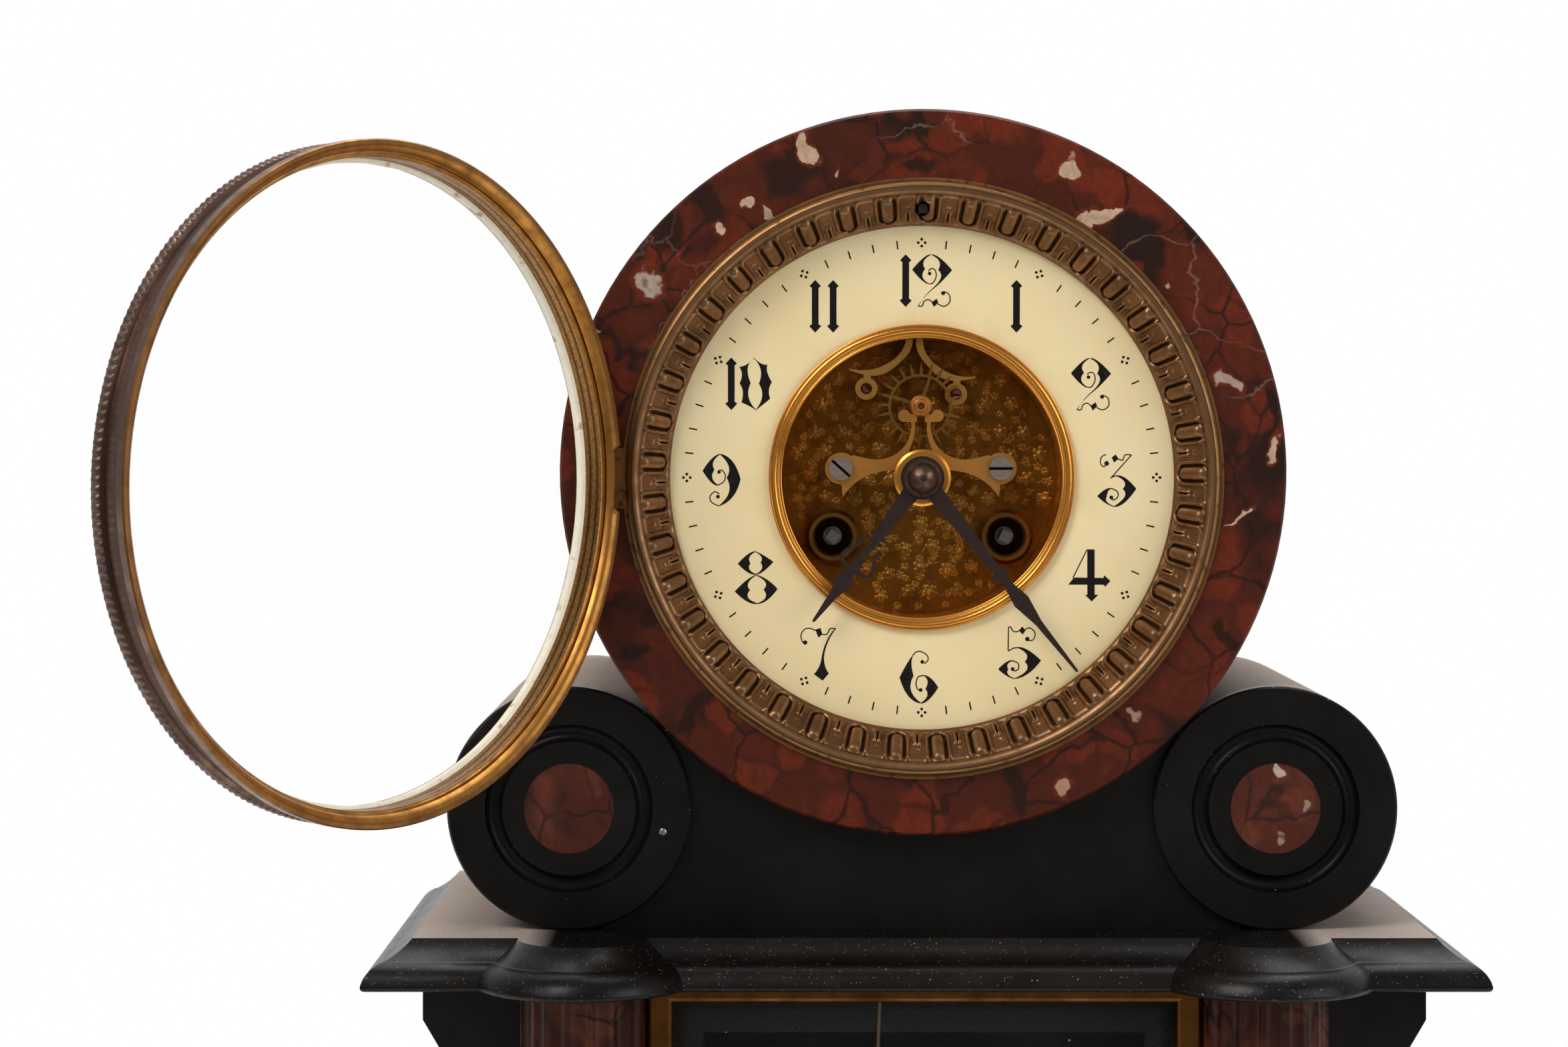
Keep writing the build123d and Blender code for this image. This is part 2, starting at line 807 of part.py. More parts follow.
# Escape cock: brass bridge in front of the escape wheel, two curved arms, balls and tails
cock_y = stamp_y - cock_standoff
cock_back = cock_y + cock_thickness
escape_z = dial_z + escape_height
cock_inner = [(1.6, 14.5), (1.5, 12.7), (1.75, 10.2), (2.5, 7.8), (3.6, 5.0), (5.6, 1.7)]
cock_lower = [(5.6, 1.7), (9.6, 1.5), (13.5, 0.35), (16.7, -1.6), (19.7, -5.0)]
cock_outer = [
    (2.6, 14.5),
    (2.4, 12.7),
    (3.0, 10.0),
    (4.4, 7.5),
    (6.9, 5.5),
    (10.2, 4.5),
    (14.0, 4.8),
    (17.2, 5.6),
]
cock_tail = (20.3, 1.0)
cock_pad_radius = 4.0
cock_foot_radius = 2.6
cock_hole = 0.9
ball_at = (4.2, escape_height - 2.5)
ball_radius = 1.55
with BuildPart() as escape_cock:
    with BuildSketch(front_view(cock_y)):
        with BuildLine():
            Spline(*cock_outer)
            Line(cock_outer[-1], cock_tail)
            Line(cock_tail, cock_lower[-1])
            Spline(*cock_lower)
            Spline(*cock_inner)
            Line(cock_inner[0], cock_outer[0])
        arm = make_face()
        mirror(arm, about=Plane.YZ)
        with Locations((-cock_screw_x, cock_screw_height), (cock_screw_x, cock_screw_height)):
            Circle(cock_pad_radius)
        with Locations((-ball_at[0], ball_at[1]), ball_at):
            Circle(ball_radius)
        with Locations((-2.3, escape_height - 3.1), (2.3, escape_height - 3.1)):
            Rectangle(2.6, 2.0)
        with Locations((0, escape_height)):
            Circle(cock_boss_radius)
    extrude(amount=-cock_thickness)
    turned(
        [
            (cock_back, 0.0),
            (cock_back, cock_boss_radius),
            (cock_y - 0.5, cock_boss_radius),
            (cock_y - 0.9, cock_boss_radius - 0.4),
            (cock_y - 0.9, 1.8),
            (cock_y - 1.5, 1.5),
            (cock_y - 1.5, 0.0),
        ],
        z=escape_z,
    )
    rod(0, escape_z, cock_y - 2, cock_back + 1, cock_hole, Mode.SUBTRACT)
    for side in (-1, 1):
        rod(side * cock_screw_x, dial_z + cock_screw_height, cock_back - 0.5, stamp_y, cock_foot_radius)
        rod(side * cock_screw_x, dial_z + cock_screw_height, cock_y - 1, stamp_y, 1.3, Mode.SUBTRACT)
escape_cock.part.label = "escape_cock"
export_step(escape_cock.part, "parts/escape_cock.step")

# Cock screws: two slotted steel screws through the feet of the cock
cock_slot_turn = (42.0, 0.0)
with BuildPart() as cock_screws:
    for side, turn in zip((-1, 1), cock_slot_turn):
        at = (side * cock_screw_x, dial_z + cock_screw_height)
        rod(*at, cock_y - screw_head_height, cock_y, screw_head_radius)
        rod(*at, cock_y - 0.5, stamp_y, 1.25)
        with BuildSketch(front_view(cock_y - screw_head_height, *at, turn=turn)):
            Rectangle(3 * screw_head_radius, 0.7)
        extrude(amount=-0.7, mode=Mode.SUBTRACT)
cock_screws.part.label = "cock_screws"
export_step(cock_screws.part, "parts/cock_screws.step")

# Bezel ring: brass, drawn closed on the dial and then turned open on its hinge
bezel_back = flange_y - 0.1
bezel_front = bezel_back - bezel_depth
step_radius = bezel_seat_radius + 0.6
groove_radius = bezel_front_radius - 0.9
glass_front = bezel_front + bezel_lip
glass_back = glass_front + bezel_glass_thickness
side_knuckle_z = half_knuckle + knuckle_gap + side_knuckle_length / 2
with BuildPart() as bezel_ring:
    with BuildSketch(lathe()):
        with BuildLine():
            Polyline(
                (bezel_back, bezel_inner_radius),
                (bezel_back, bezel_radius),
                (bezel_back - 2.2, bezel_radius),
            )
            ThreePointArc(
                (bezel_back - 2.2, bezel_radius),
                (bezel_back - 5.2, bezel_radius - 1.5),
                (bezel_back - 8.2, groove_radius),
            )
            Polyline(
                (bezel_back - 8.2, groove_radius),
                (bezel_back - 8.6, bezel_front_radius),
                (bezel_front + 0.6, bezel_front_radius),
                (bezel_front, bezel_front_radius - 0.6),
                (bezel_front, bezel_lip_radius),
                (glass_front, bezel_lip_radius),
                (glass_front, bezel_seat_radius),
                (bezel_back - 5.6, bezel_seat_radius),
                (bezel_back - 5.6, step_radius),
                (bezel_back - 2.6, step_radius),
                (bezel_back - 2.6, bezel_inner_radius),
                (bezel_back, bezel_inner_radius),
            )
        make_face()
    revolve(axis=lathe_axis())
    notch_half = half_knuckle + knuckle_gap
    block(
        (-hinge_offset - 4, -hinge_offset + knuckle_radius + knuckle_gap),
        (hinge_y - knuckle_radius - knuckle_gap, bezel_back + 1),
        (dial_z - notch_half, dial_z + notch_half),
        Mode.SUBTRACT,
    )
    leaf_x = sqrt(step_radius**2 - notch_half**2)
    for side in (-1, 1):
        with Locations((-hinge_offset, hinge_y, dial_z + side * side_knuckle_z)):
            Cylinder(knuckle_radius, side_knuckle_length)
            Box(
                hinge_offset - leaf_x,
                2 * knuckle_radius,
                side_knuckle_length,
                align=(Align.MIN, Align.CENTER, Align.CENTER),
            )
            Cylinder(pin_radius + 0.02, side_knuckle_length, mode=Mode.SUBTRACT)
    add(bezel_ring.part.rotate(hinge_axis, -bezel_opening), mode=Mode.REPLACE)
bezel_ring.part.label = "bezel_ring"
export_step(bezel_ring.part, "parts/bezel_ring.step")

# Bezel glass: flat disc against the front lip
with BuildPart() as bezel_glass:
    rod(0, dial_z, glass_front, glass_back, bezel_seat_radius - 0.05)
    add(bezel_glass.part.rotate(hinge_axis, -bezel_opening), mode=Mode.REPLACE)
bezel_glass.part.label = "bezel_glass"
export_step(bezel_glass.part, "parts/bezel_glass.step")

# Putty: fillet behind the glass that holds it in the ring
with BuildPart() as glass_putty:
    turned(
        [
            (glass_back, bezel_seat_radius - putty_width),
            (glass_back, bezel_seat_radius - 0.02),
            (glass_back + putty_width, bezel_seat_radius - 0.02),
        ]
    )
    add(glass_putty.part.rotate(hinge_axis, -bezel_opening), mode=Mode.REPLACE)
glass_putty.part.label = "glass_putty"
export_step(glass_putty.part, "parts/glass_putty.step")

# Hinge pin: brass wire fast in the bezel's knuckles, free in the fixed one
with BuildPart() as bezel_hinge_pin:
    pin_length = knuckle_length + 2 * (knuckle_gap + side_knuckle_length)
    with Locations((-hinge_offset, hinge_y, dial_z)):
        Cylinder(pin_radius, pin_length)
    for side in (-1, 1):
        with Locations((-hinge_offset, hinge_y, dial_z + side * (pin_length / 2 + 0.4))):
            Cylinder(1.5 * pin_radius, 0.8)
bezel_hinge_pin.part.label = "bezel_hinge_pin"
export_step(bezel_hinge_pin.part, "parts/bezel_hinge_pin.step")


def hand_outline(half):
    """Whole outline of a hand from its right half, root first and tip last."""
    return half + [(-x, along) for x, along in reversed(half[:-1])]


hour_back = dial_y - hand_height
hour_front = hour_back - hand_thickness
minute_back = hour_front - hand_spacing
minute_front = minute_back - hand_thickness
fit_gap = 0.02

# Minute hand: blued steel, sawn with a crossbar and a lozenge
with BuildPart() as minute_hand:
    tip = minute_hand_length
    half = [
        (2.3, 2.0),
        (1.0, 29.6),
        (1.3, 30.0),
        (2.8, 30.5),
        (2.8, 31.2),
        (1.3, 31.8),
        (0.9, 33.0),
        (2.1, 39.2),
        (0.9, 46.0),
        (0.35, tip - 0.4),
        (0.0, tip),
    ]
    with BuildSketch(front_view(minute_back, turn=minute_hand_angle)):
        Polygon(*hand_outline(half), align=None)
        Circle(minute_hub)
        Circle(cannon_radius + fit_gap, mode=Mode.SUBTRACT)
    extrude(amount=hand_thickness)
minute_hand.part.label = "minute_hand"
export_step(minute_hand.part, "parts/minute_hand.step")

# Hand nut: domed steel nut over the end of the centre arbor
with BuildPart() as hand_nut:
    nut_bore = arbor_radius + fit_gap
    with BuildSketch(lathe()):
        with BuildLine():
            Polyline(
                (minute_front - nut_height, nut_bore),
                (minute_front, nut_bore),
                (minute_front, nut_radius + 0.5),
                (minute_front - 0.5, nut_radius + 0.5),
                (minute_front - 0.5, nut_radius - 0.2),
            )
            ThreePointArc(
                (minute_front - 0.5, nut_radius - 0.2),
                (minute_front - 0.72 * nut_height, 0.69 * nut_radius),
                (minute_front - nut_height, nut_bore),
            )
        make_face()
    revolve(axis=lathe_axis())
hand_nut.part.label = "hand_nut"
export_step(hand_nut.part, "parts/hand_nut.step")

# Hour hand: blued steel, with a crossbar and two loops before the lozenge
with BuildPart() as hour_hand:
    tip = hour_hand_length
    half = [
        (2.6, 2.5),
        (1.3, 17.5),
        (3.0, 18.2),
        (3.0, 19.2),
        (1.2, 20.0),
        (1.0, 20.8),
        (3.2, 23.0),
        (3.6, 25.2),
        (2.7, 27.8),
        (1.0, 29.2),
        (2.3, 31.8),
        (1.0, 37.0),
        (0.4, tip - 0.4),
        (0.0, tip),
    ]
    with BuildSketch(front_view(hour_back, turn=hour_hand_angle)):
        Polygon(*hand_outline(half), align=None)
        with Locations((-1.85, 25.1), (1.85, 25.1)):
            Ellipse(0.95, 1.7, mode=Mode.SUBTRACT)
        Circle(hour_hub)
        Circle(hour_pipe_radius + fit_gap, mode=Mode.SUBTRACT)
    extrude(amount=hand_thickness)
hour_hand.part.label = "hour_hand"
export_step(hour_hand.part, "parts/hour_hand.step")

# Hour collet: gilt disc that carries the hour hand on its pipe
with BuildPart() as hour_collet:
    turned(
        [
            (hour_back, hour_pipe_radius + fit_gap),
            (hour_back, collet_radius - 0.6),
            (hour_back + 0.4, collet_radius),
            (hour_back + 1.2, collet_radius),
            (hour_back + 1.2, hour_pipe_radius + fit_gap),
        ]
    )
hour_collet.part.label = "hour_collet"
export_step(hour_collet.part, "parts/hour_collet.step")

# Places of the arbors, seen from the front, and the sizes of the gears that follow from them
hour_module = motion_module * (cannon_teeth + minute_wheel_teeth) / (minute_pinion_teeth + hour_wheel_teeth)
minute_drop = motion_module * (cannon_teeth + minute_wheel_teeth) / 2
barrel_distance = hypot(winding_x, winding_drop)
barrel_module = 2 * barrel_distance / (barrel_teeth + centre_pinion_teeth)
third_distance = train_module * (centre_wheel_teeth + third_pinion_teeth) / 2
third_tip = third_module * (third_wheel_teeth / 2 + 0.8)
escape_distance = third_tip + escape_pinion_radius + mesh_gap
third_z = (third_distance**2 - escape_distance**2 + escape_height**2) / (2 * escape_height)
third_x = sqrt(third_distance**2 - third_z**2)
barrel_angle = degrees(atan2(-winding_drop, winding_x))
third_angle = degrees(atan2(third_z, third_x))
pivot_radius = 0.7
stud_radius = 0.9
pallet_arbor_radius = 1.0
hammer_arbor_radius = 1.2
wheel_share = 0.40
pinion_share = 0.32

# Cannon pinion: steel pipe over the centre arbor, drives the motion work and carries the minute hand
with BuildPart() as cannon_pinion:
    toothed(
        cannon_teeth, motion_module, pinion_share, -90, 0, dial_z, front_plate_y - 4, front_plate_y - 1
    )
    rod(0, dial_z, minute_front, front_plate_y - 1, cannon_radius)
    rod(0, dial_z, minute_front, front_plate_y - 1, arbor_radius + fit_gap, Mode.SUBTRACT)
cannon_pinion.part.label = "cannon_pinion"
export_step(cannon_pinion.part, "parts/cannon_pinion.step")

# Minute wheel: brass wheel and steel pinion on a stud of the front plate
with BuildPart() as minute_wheel:
    wheel_at = (0, dial_z - minute_drop)
    toothed(
        minute_wheel_teeth,
        motion_module,
        wheel_share,
        90 + 180 / minute_wheel_teeth,
        *wheel_at,
        front_plate_y - 3.8,
        front_plate_y - 2,
    )
    toothed(
        minute_pinion_teeth,
        hour_module,
        pinion_share,
        90,
        *wheel_at,
        front_plate_y - 7.3,
        front_plate_y - 3.8,
    )
    rod(*wheel_at, front_plate_y - 8, front_plate_y, stud_radius + running_gap, Mode.SUBTRACT)
minute_wheel.part.label = "minute_wheel"
export_step(minute_wheel.part, "parts/minute_wheel.step")

# Hour wheel: brass wheel on a pipe that turns on the cannon pinion
with BuildPart() as hour_wheel:
    toothed(
        hour_wheel_teeth,
        hour_module,
        wheel_share,
        -90 + 180 / hour_wheel_teeth,
        0,
        dial_z,
        front_plate_y - 7,
        front_plate_y - 5.2,
    )
    rod(0, dial_z, hour_front, front_plate_y - 5.2, hour_pipe_radius)
    rod(0, dial_z, hour_front, front_plate_y - 5.2, cannon_radius + running_gap, Mode.SUBTRACT)
hour_wheel.part.label = "hour_wheel"
export_step(hour_wheel.part, "parts/hour_wheel.step")


def plate_face():
    """Outline of a movement plate with a tongue above it and the holes for the arbors."""
    Circle(plate_radius)
    Rectangle(2 * plate_tongue, plate_tongue_top, align=(Align.CENTER, Align.MIN))
    holes = [
        (0, 0, arbor_radius),
        (third_x, third_z, pivot_radius),
        (0, escape_height, pivot_radius),
        (0, pallet_height, pallet_arbor_radius),
        (0, regulator_height, regulator_radius),
        (winding_x, -winding_drop, winding_arbor_radius),
        (-winding_x, -winding_drop, winding_arbor_radius),
    ]
    for x, z, shaft in holes:
        with Locations((x, z)):
            Circle(shaft + running_gap, mode=Mode.SUBTRACT)


# Front plate: brass, with the stud of the minute wheel
with BuildPart() as front_plate:
    with BuildSketch(front_view(front_plate_y)):
        plate_face()
    extrude(amount=-plate_thickness)
    rod(0, dial_z - minute_drop, front_plate_y - stud_length, front_plate_y + plate_thickness / 2, stud_radius)
front_plate.part.label = "front_plate"
export_step(front_plate.part, "parts/front_plate.step")

# Back plate: brass, also carries the hammer arbor
with BuildPart() as back_plate:
    with BuildSketch(front_view(back_plate_y)):
        plate_face()
        with Locations((hammer_x, -hammer_drop)):
            Circle(hammer_arbor_radius + running_gap, mode=Mode.SUBTRACT)
    extrude(amount=-plate_thickness)
back_plate.part.label = "back_plate"
export_step(back_plate.part, "parts/back_plate.step")

# Pillars: four brass posts between the plates
upper_pillar = (26.0, 34.0)
lower_pillar = (8.0, -41.0)
with BuildPart() as plate_pillars:
    for side in (-1, 1):
        for x, z in (upper_pillar, lower_pillar):
            rod(side * x, dial_z + z, front_plate_y + plate_thickness, back_plate_y, pillar_radius)
plate_pillars.part.label = "plate_pillars"
export_step(plate_pillars.part, "parts/plate_pillars.step")

# Straps: two brass strips from the skirt of the surround to the back ring
strap_turn = 60.0
strap_start = surround_outer + 0.05
strap_foot = drum_bore - 0.5 - strap_start
strap_screw_radius = 68.4
screw_gap = 0.05
with BuildPart() as movement_straps:
    for turn in (-strap_turn, strap_turn):
        with BuildSketch(front_view(dial_y, turn=turn)):
            with Locations((0, strap_start)):
                Rectangle(strap_width, strap_thickness, align=(Align.CENTER, Align.MIN))
        extrude(amount=dial_y - ring_y)
        with BuildSketch(front_view(ring_y, turn=turn)):
            with Locations((0, strap_start)):
                Rectangle(strap_width, strap_foot, align=(Align.CENTER, Align.MIN))
            with Locations((0, strap_screw_radius)):
                Circle(strap_screw_shank + screw_gap, mode=Mode.SUBTRACT)
        extrude(amount=strap_foot_thickness)
movement_straps.part.label = "movement_straps"
export_step(movement_straps.part, "parts/movement_straps.step")

# Strap screws: two slotted screws through the back ring
with BuildPart() as strap_screws:
    for turn in (-strap_turn, strap_turn):
        x = strap_screw_radius * sin(radians(turn))
        z = dial_z + strap_screw_radius * cos(radians(turn))
        head_end = y_back + strap_screw_head_height
        rod(x, z, ring_y - strap_screw_length, y_back, strap_screw_shank)
        rod(x, z, y_back, head_end, strap_screw_head)
        with BuildSketch(front_view(head_end, x, z)):
            Rectangle(3 * strap_screw_head, screw_slot_width)
        extrude(amount=strap_screw_head_height / 2, mode=Mode.SUBTRACT)
strap_screws.part.label = "strap_screws"
export_step(strap_screws.part, "parts/strap_screws.step")

# Centre wheel: arbor through both plates, pinion driven by the barrel, wheel at the back
with BuildPart() as centre_wheel:
    rod(0, dial_z, minute_front - nut_height, back_plate_end, arbor_radius)
    toothed(
        centre_pinion_teeth,
        barrel_module,
        pinion_share,
        barrel_angle,
        0,
        dial_z,
        front_plate_y + 4.5,
        front_plate_y + 8.5,
    )
    toothed(
        centre_wheel_teeth,
        train_module,
        wheel_share,
        third_angle,
        0,
        dial_z,
        back_plate_y - 4,
        back_plate_y - 2.5,
    )
centre_wheel.part.label = "centre_wheel"
export_step(centre_wheel.part, "parts/centre_wheel.step")

# Third wheel: pinion in mesh with the centre wheel, wheel towards the escape pinion
with BuildPart() as third_wheel:
    third_at = (third_x, dial_z + third_z)
    rod(*third_at, front_plate_y, back_plate_end, pivot_radius)
    toothed(
        third_pinion_teeth,
        train_module,
        pinion_share,
        third_angle + 180 + 180 / third_pinion_teeth,
        *third_at,
        back_plate_y - third_pinion_end - third_pinion_length,
        back_plate_y - third_pinion_end,
    )
    toothed(
        third_wheel_teeth,
        third_module,
        wheel_share,
        0,
        *third_at,
        front_plate_y + third_wheel_depth,
        front_plate_y + third_wheel_depth + third_wheel_thickness,
    )
third_wheel.part.label = "third_wheel"
export_step(third_wheel.part, "parts/third_wheel.step")

# Escape wheel: thin brass wheel with pointed teeth in front of the dial plate, its arbor behind
escape_y = cock_back + cock_gap
rim_inner = escape_rim_radius - escape_rim_width
escape_tooth = [
    (rim_inner + 0.2, -0.32),
    (9.4, -0.36),
    (9.7, -0.2),
    (escape_tip_radius, 0.0),
    (escape_tip_radius, 0.12),
    (9.4, 0.4),
    (rim_inner + 0.2, 0.32),
]
with BuildPart() as escape_wheel:
    with BuildSketch(front_view(escape_y, z=escape_z)):
        Circle(escape_rim_radius)
        Circle(rim_inner, mode=Mode.SUBTRACT)
        with PolarLocations(0, escape_teeth, start_angle=escape_phase):
            Polygon(*escape_tooth, align=None)
        with PolarLocations(0, 4, start_angle=escape_spoke_phase):
            Polygon((0, -0.5), (rim_inner + 0.2, -0.35), (rim_inner + 0.2, 0.35), (0, 0.5), align=None)
        Circle(2.2)
    extrude(amount=-escape_thickness)
    rod(0, escape_z, cock_y + 0.3, back_plate_end, pivot_radius)
    rod(0, escape_z, escape_y + 0.5, escape_y + 3.5, 1.8)
    pinion_front = front_plate_y + third_wheel_depth - escape_pinion_lead
    rod(0, escape_z, pinion_front, pinion_front + escape_pinion_length, escape_pinion_radius)
escape_wheel.part.label = "escape_wheel"
export_step(escape_wheel.part, "parts/escape_wheel.step")


def barrel(x, flange_start, drum_start):
    """Spring barrel: drum with a toothed flange, bored for its winding arbor."""
    z = dial_z - winding_drop
    phase = barrel_angle + 180 + 180 / barrel_teeth
    toothed(barrel_teeth, barrel_module, wheel_share, phase, x, z, flange_start, flange_start + barrel_flange)
    rod(x, z, drum_start, drum_start + barrel_length - barrel_flange, barrel_radius)
    bore = winding_arbor_radius + running_gap
    rod(x, z, front_plate_y, back_plate_y, bore, Mode.SUBTRACT)


# Going barrel: drives the hands, toothed flange at the front
barrel_front = front_plate_y + barrel_depth
with BuildPart() as going_barrel:
    barrel(winding_x, barrel_front, barrel_front + barrel_flange)
going_barrel.part.label = "going_barrel"
export_step(going_barrel.part, "parts/going_barrel.step")

# Strike barrel: toothed flange at the back
with BuildPart() as strike_barrel:
    barrel(-winding_x, barrel_front + barrel_length - barrel_flange, barrel_front)
strike_barrel.part.label = "strike_barrel"
export_step(strike_barrel.part, "parts/strike_barrel.step")


def winding_arbor(x, turn):
    """Steel arbor through the plates with a square for the key at the dial."""
    z = dial_z - winding_drop
    key_y = stamp_y - 0.8 * collar_height
    with BuildSketch(front_view(key_y, x, z, turn)) as key_end:
        Rectangle(winding_square, winding_square)
    extrude(key_end.sketch, amount=key_y - front_plate_y)
    rod(x, z, front_plate_y - 4, back_plate_end, winding_arbor_radius)


with BuildPart() as winding_arbor_going:
    winding_arbor(winding_x, going_square_turn)
winding_arbor_going.part.label = "winding_arbor_going"
export_step(winding_arbor_going.part, "parts/winding_arbor_going.step")

with BuildPart() as winding_arbor_strike:
    winding_arbor(-winding_x, strike_square_turn)
winding_arbor_strike.part.label = "winding_arbor_strike"
export_step(winding_arbor_strike.part, "parts/winding_arbor_strike.step")

# Pallet anchor: brass arms with two collets, arbor through the plates and crutch at the back
anchor_y = escape_y + 2.9
anchor_upper = [
    (2.15, -21.0),
    (2.65, -23.4),
    (4.25, -25.9),
    (6.9, -27.9),
    (9.6, -29.2),
    (12.5, -29.75),
    (16.1, -29.5),
]
anchor_lower = [
    (0.45, -21.0),
    (1.15, -24.4),
    (3.4, -27.3),
    (6.1, -29.7),
    (8.6, -30.8),
    (12.0, -30.9),
    (16.1, -29.95),
]
pallet_x = pallet_radius * sin(radians(pallet_half_angle))
pallet_drop = pallet_radius * cos(radians(pallet_half_angle))
stem_inner = anchor_stem_gap / 2
stem_outer = stem_inner + anchor_stem_width
jewel_hole = 1.45
crutch_y = back_plate_end + 2.5
crutch_length = 38.0
with BuildPart() as pallet_anchor:
    with BuildSketch(front_view(anchor_y, 0, pivot_z, pallet_tilt)):
        with BuildLine():
            Spline(*anchor_upper)
            Line(anchor_upper[-1], anchor_lower[-1])
            Spline(*anchor_lower)
            Line(anchor_lower[0], anchor_upper[0])
        anchor_arm = make_face()
        mirror(anchor_arm, about=Plane.YZ)
        for side in (-1, 1):
            with Locations((side * (stem_inner + stem_outer) / 2, -10.6)):
                Rectangle(anchor_stem_width, 21.2)
            with Locations((side * pallet_x, -31.0)):
                Rectangle(1.8, 2.4)
        Circle(3.2)
    extrude(amount=-anchor_thickness)
    with BuildSketch(front_view(anchor_y + 0.6, 0, pivot_z, pallet_tilt)):
        with Locations((-pallet_x, -pallet_drop), (pallet_x, -pallet_drop)):
            Circle(collet_ring_radius)
            Circle(jewel_hole, mode=Mode.SUBTRACT)
        for side in (-1, 1):
            with Locations((side * pallet_x, -31.0)):
                Rectangle(1.8, 1.6)
    extrude(amount=-2.4)
    rod(0, pivot_z, anchor_y - 0.4, crutch_y + 2, pallet_arbor_radius)
    with BuildSketch(front_view(crutch_y, 0, pivot_z, pendulum_lean)):
        with Locations((0, 2.5)):
            Rectangle(2.6, crutch_length + 2.5, align=(Align.CENTER, Align.MAX))
        with Locations((0, -crutch_length)):
            Rectangle(2 * rod_radius + 3.2, 4)
        Circle(2.6)
    extrude(amount=-1.4)
    with BuildSketch(front_view(crutch_y, 0, pivot_z, pendulum_lean)):
        prong_x = rod_radius + 0.25 + 0.5
        with Locations((-prong_x, -crutch_length), (prong_x, -crutch_length)):
            Rectangle(1.0, 4)
    extrude(amount=-(pendulum_y - crutch_y + 3))
pallet_anchor.part.label = "pallet_anchor"
export_step(pallet_anchor.part, "parts/pallet_anchor.step")

# Pallet jewels: two half-round garnet pins cemented in the collets
jewel_turn = (-135.0, 10.0)
with BuildPart() as pallet_jewels:
    for side, turn in zip((-1, 1), jewel_turn):
        tilt = radians(pallet_tilt)
        local_x = side * pallet_x
        x = local_x * cos(tilt) - pallet_drop * sin(tilt)
        z = pivot_z - local_x * sin(tilt) - pallet_drop * cos(tilt)
        with BuildSketch(front_view(escape_y - 0.5, x, z, turn)):
            Circle(jewel_radius)
            Rectangle(
                4 * jewel_radius,
                2 * jewel_radius,
                align=(Align.CENTER, Align.MAX),
                mode=Mode.SUBTRACT,
            )
        extrude(amount=-(anchor_y + 2.4 - escape_y))
pallet_jewels.part.label = "pallet_jewels"
export_step(pallet_jewels.part, "parts/pallet_jewels.step")

# Suspension bracket: brass arm on the back plate with two lugs for the pendulum's pin
lug_inner = 3.5
with BuildPart() as suspension_bracket:
    block(
        (-6, 6),
        (back_plate_end, pendulum_y + bracket_reach),
        (pivot_z + 4, dial_z + plate_tongue_top),
    )
    for y_range in ((-bracket_reach, -lug_inner), (lug_inner, bracket_reach)):
        block(
            (-3, 3),
            (pendulum_y + y_range[0], pendulum_y + y_range[1]),
            (pivot_z - 2.5, pivot_z + 4.5),
        )
    bracket_end = pendulum_y + bracket_reach
    rod(0, pivot_z, back_plate_end, bracket_end, pin_radius + running_gap, Mode.SUBTRACT)
    shaft_hole = regulator_radius + running_gap
    rod(0, dial_z + regulator_height, back_plate_end, bracket_end, shaft_hole, Mode.SUBTRACT)
suspension_bracket.part.label = "suspension_bracket"
export_step(suspension_bracket.part, "parts/suspension_bracket.step")

# Pendulum: the whole of it leans a little to the left, as it was caught in its swing
lean = radians(pendulum_lean)
down_rod = (-sin(lean), 0, -cos(lean))
rod_plane = Plane(origin=(0, pendulum_y, pivot_z), x_dir=(0, 1, 0), z_dir=down_rod)
bob_x = -pendulum_length * sin(lean)
bob_z = pivot_z - pendulum_length * cos(lean)
nut_start = pendulum_length + bob_radius + 0.02
rod_end = nut_start + rating_nut_height + 3

# Pendulum rod: brass, with a head that hangs on a pin between the lugs
with BuildPart() as pendulum_rod:
    with BuildSketch(front_view(pendulum_y - 3, 0, pivot_z, pendulum_lean)):
        Rectangle(4.4, 6)
    extrude(amount=-6)
    rod(0, pivot_z, pendulum_y - bracket_reach, pendulum_y + bracket_reach, pin_radius)
    with BuildSketch(rod_plane.offset(1)):
        Circle(rod_radius)
    extrude(amount=rod_end - 1)
pendulum_rod.part.label = "pendulum_rod"
export_step(pendulum_rod.part, "parts/pendulum_rod.step")

# Pendulum bob: brass lens drilled for the rod
with BuildPart() as pendulum_bob:
    half_thick = bob_thickness / 2
    with BuildSketch(lathe(bob_x, bob_z)):
        with BuildLine():
            flat = 0.25 * bob_radius
            Polyline(
                (pendulum_y + half_thick, flat),
                (pendulum_y + half_thick, 0),
                (pendulum_y - half_thick, 0),
                (pendulum_y - half_thick, flat),
            )
            ThreePointArc(
                (pendulum_y - half_thick, flat),
                (pendulum_y - 0.83 * half_thick, 0.65 * bob_radius),
                (pendulum_y - 0.4 * half_thick, bob_radius),
            )
            Line((pendulum_y - 0.4 * half_thick, bob_radius), (pendulum_y + 0.4 * half_thick, bob_radius))
            ThreePointArc(
                (pendulum_y + 0.4 * half_thick, bob_radius),
                (pendulum_y + 0.83 * half_thick, 0.65 * bob_radius),
                (pendulum_y + half_thick, flat),
            )
        make_face()
    revolve(axis=lathe_axis(bob_x, bob_z))
    with BuildSketch(rod_plane):
        Circle(rod_radius + 0.03)
    extrude(amount=rod_end + 10, mode=Mode.SUBTRACT)
pendulum_bob.part.label = "pendulum_bob"
export_step(pendulum_bob.part, "parts/pendulum_bob.step")

# Rating nut: brass nut under the bob
with BuildPart() as rating_nut:
    with BuildSketch(rod_plane.offset(nut_start)):
        Circle(rating_nut_radius)
        Circle(rod_radius + 0.03, mode=Mode.SUBTRACT)
    extrude(amount=rating_nut_height)
rating_nut.part.label = "rating_nut"
export_step(rating_nut.part, "parts/rating_nut.step")

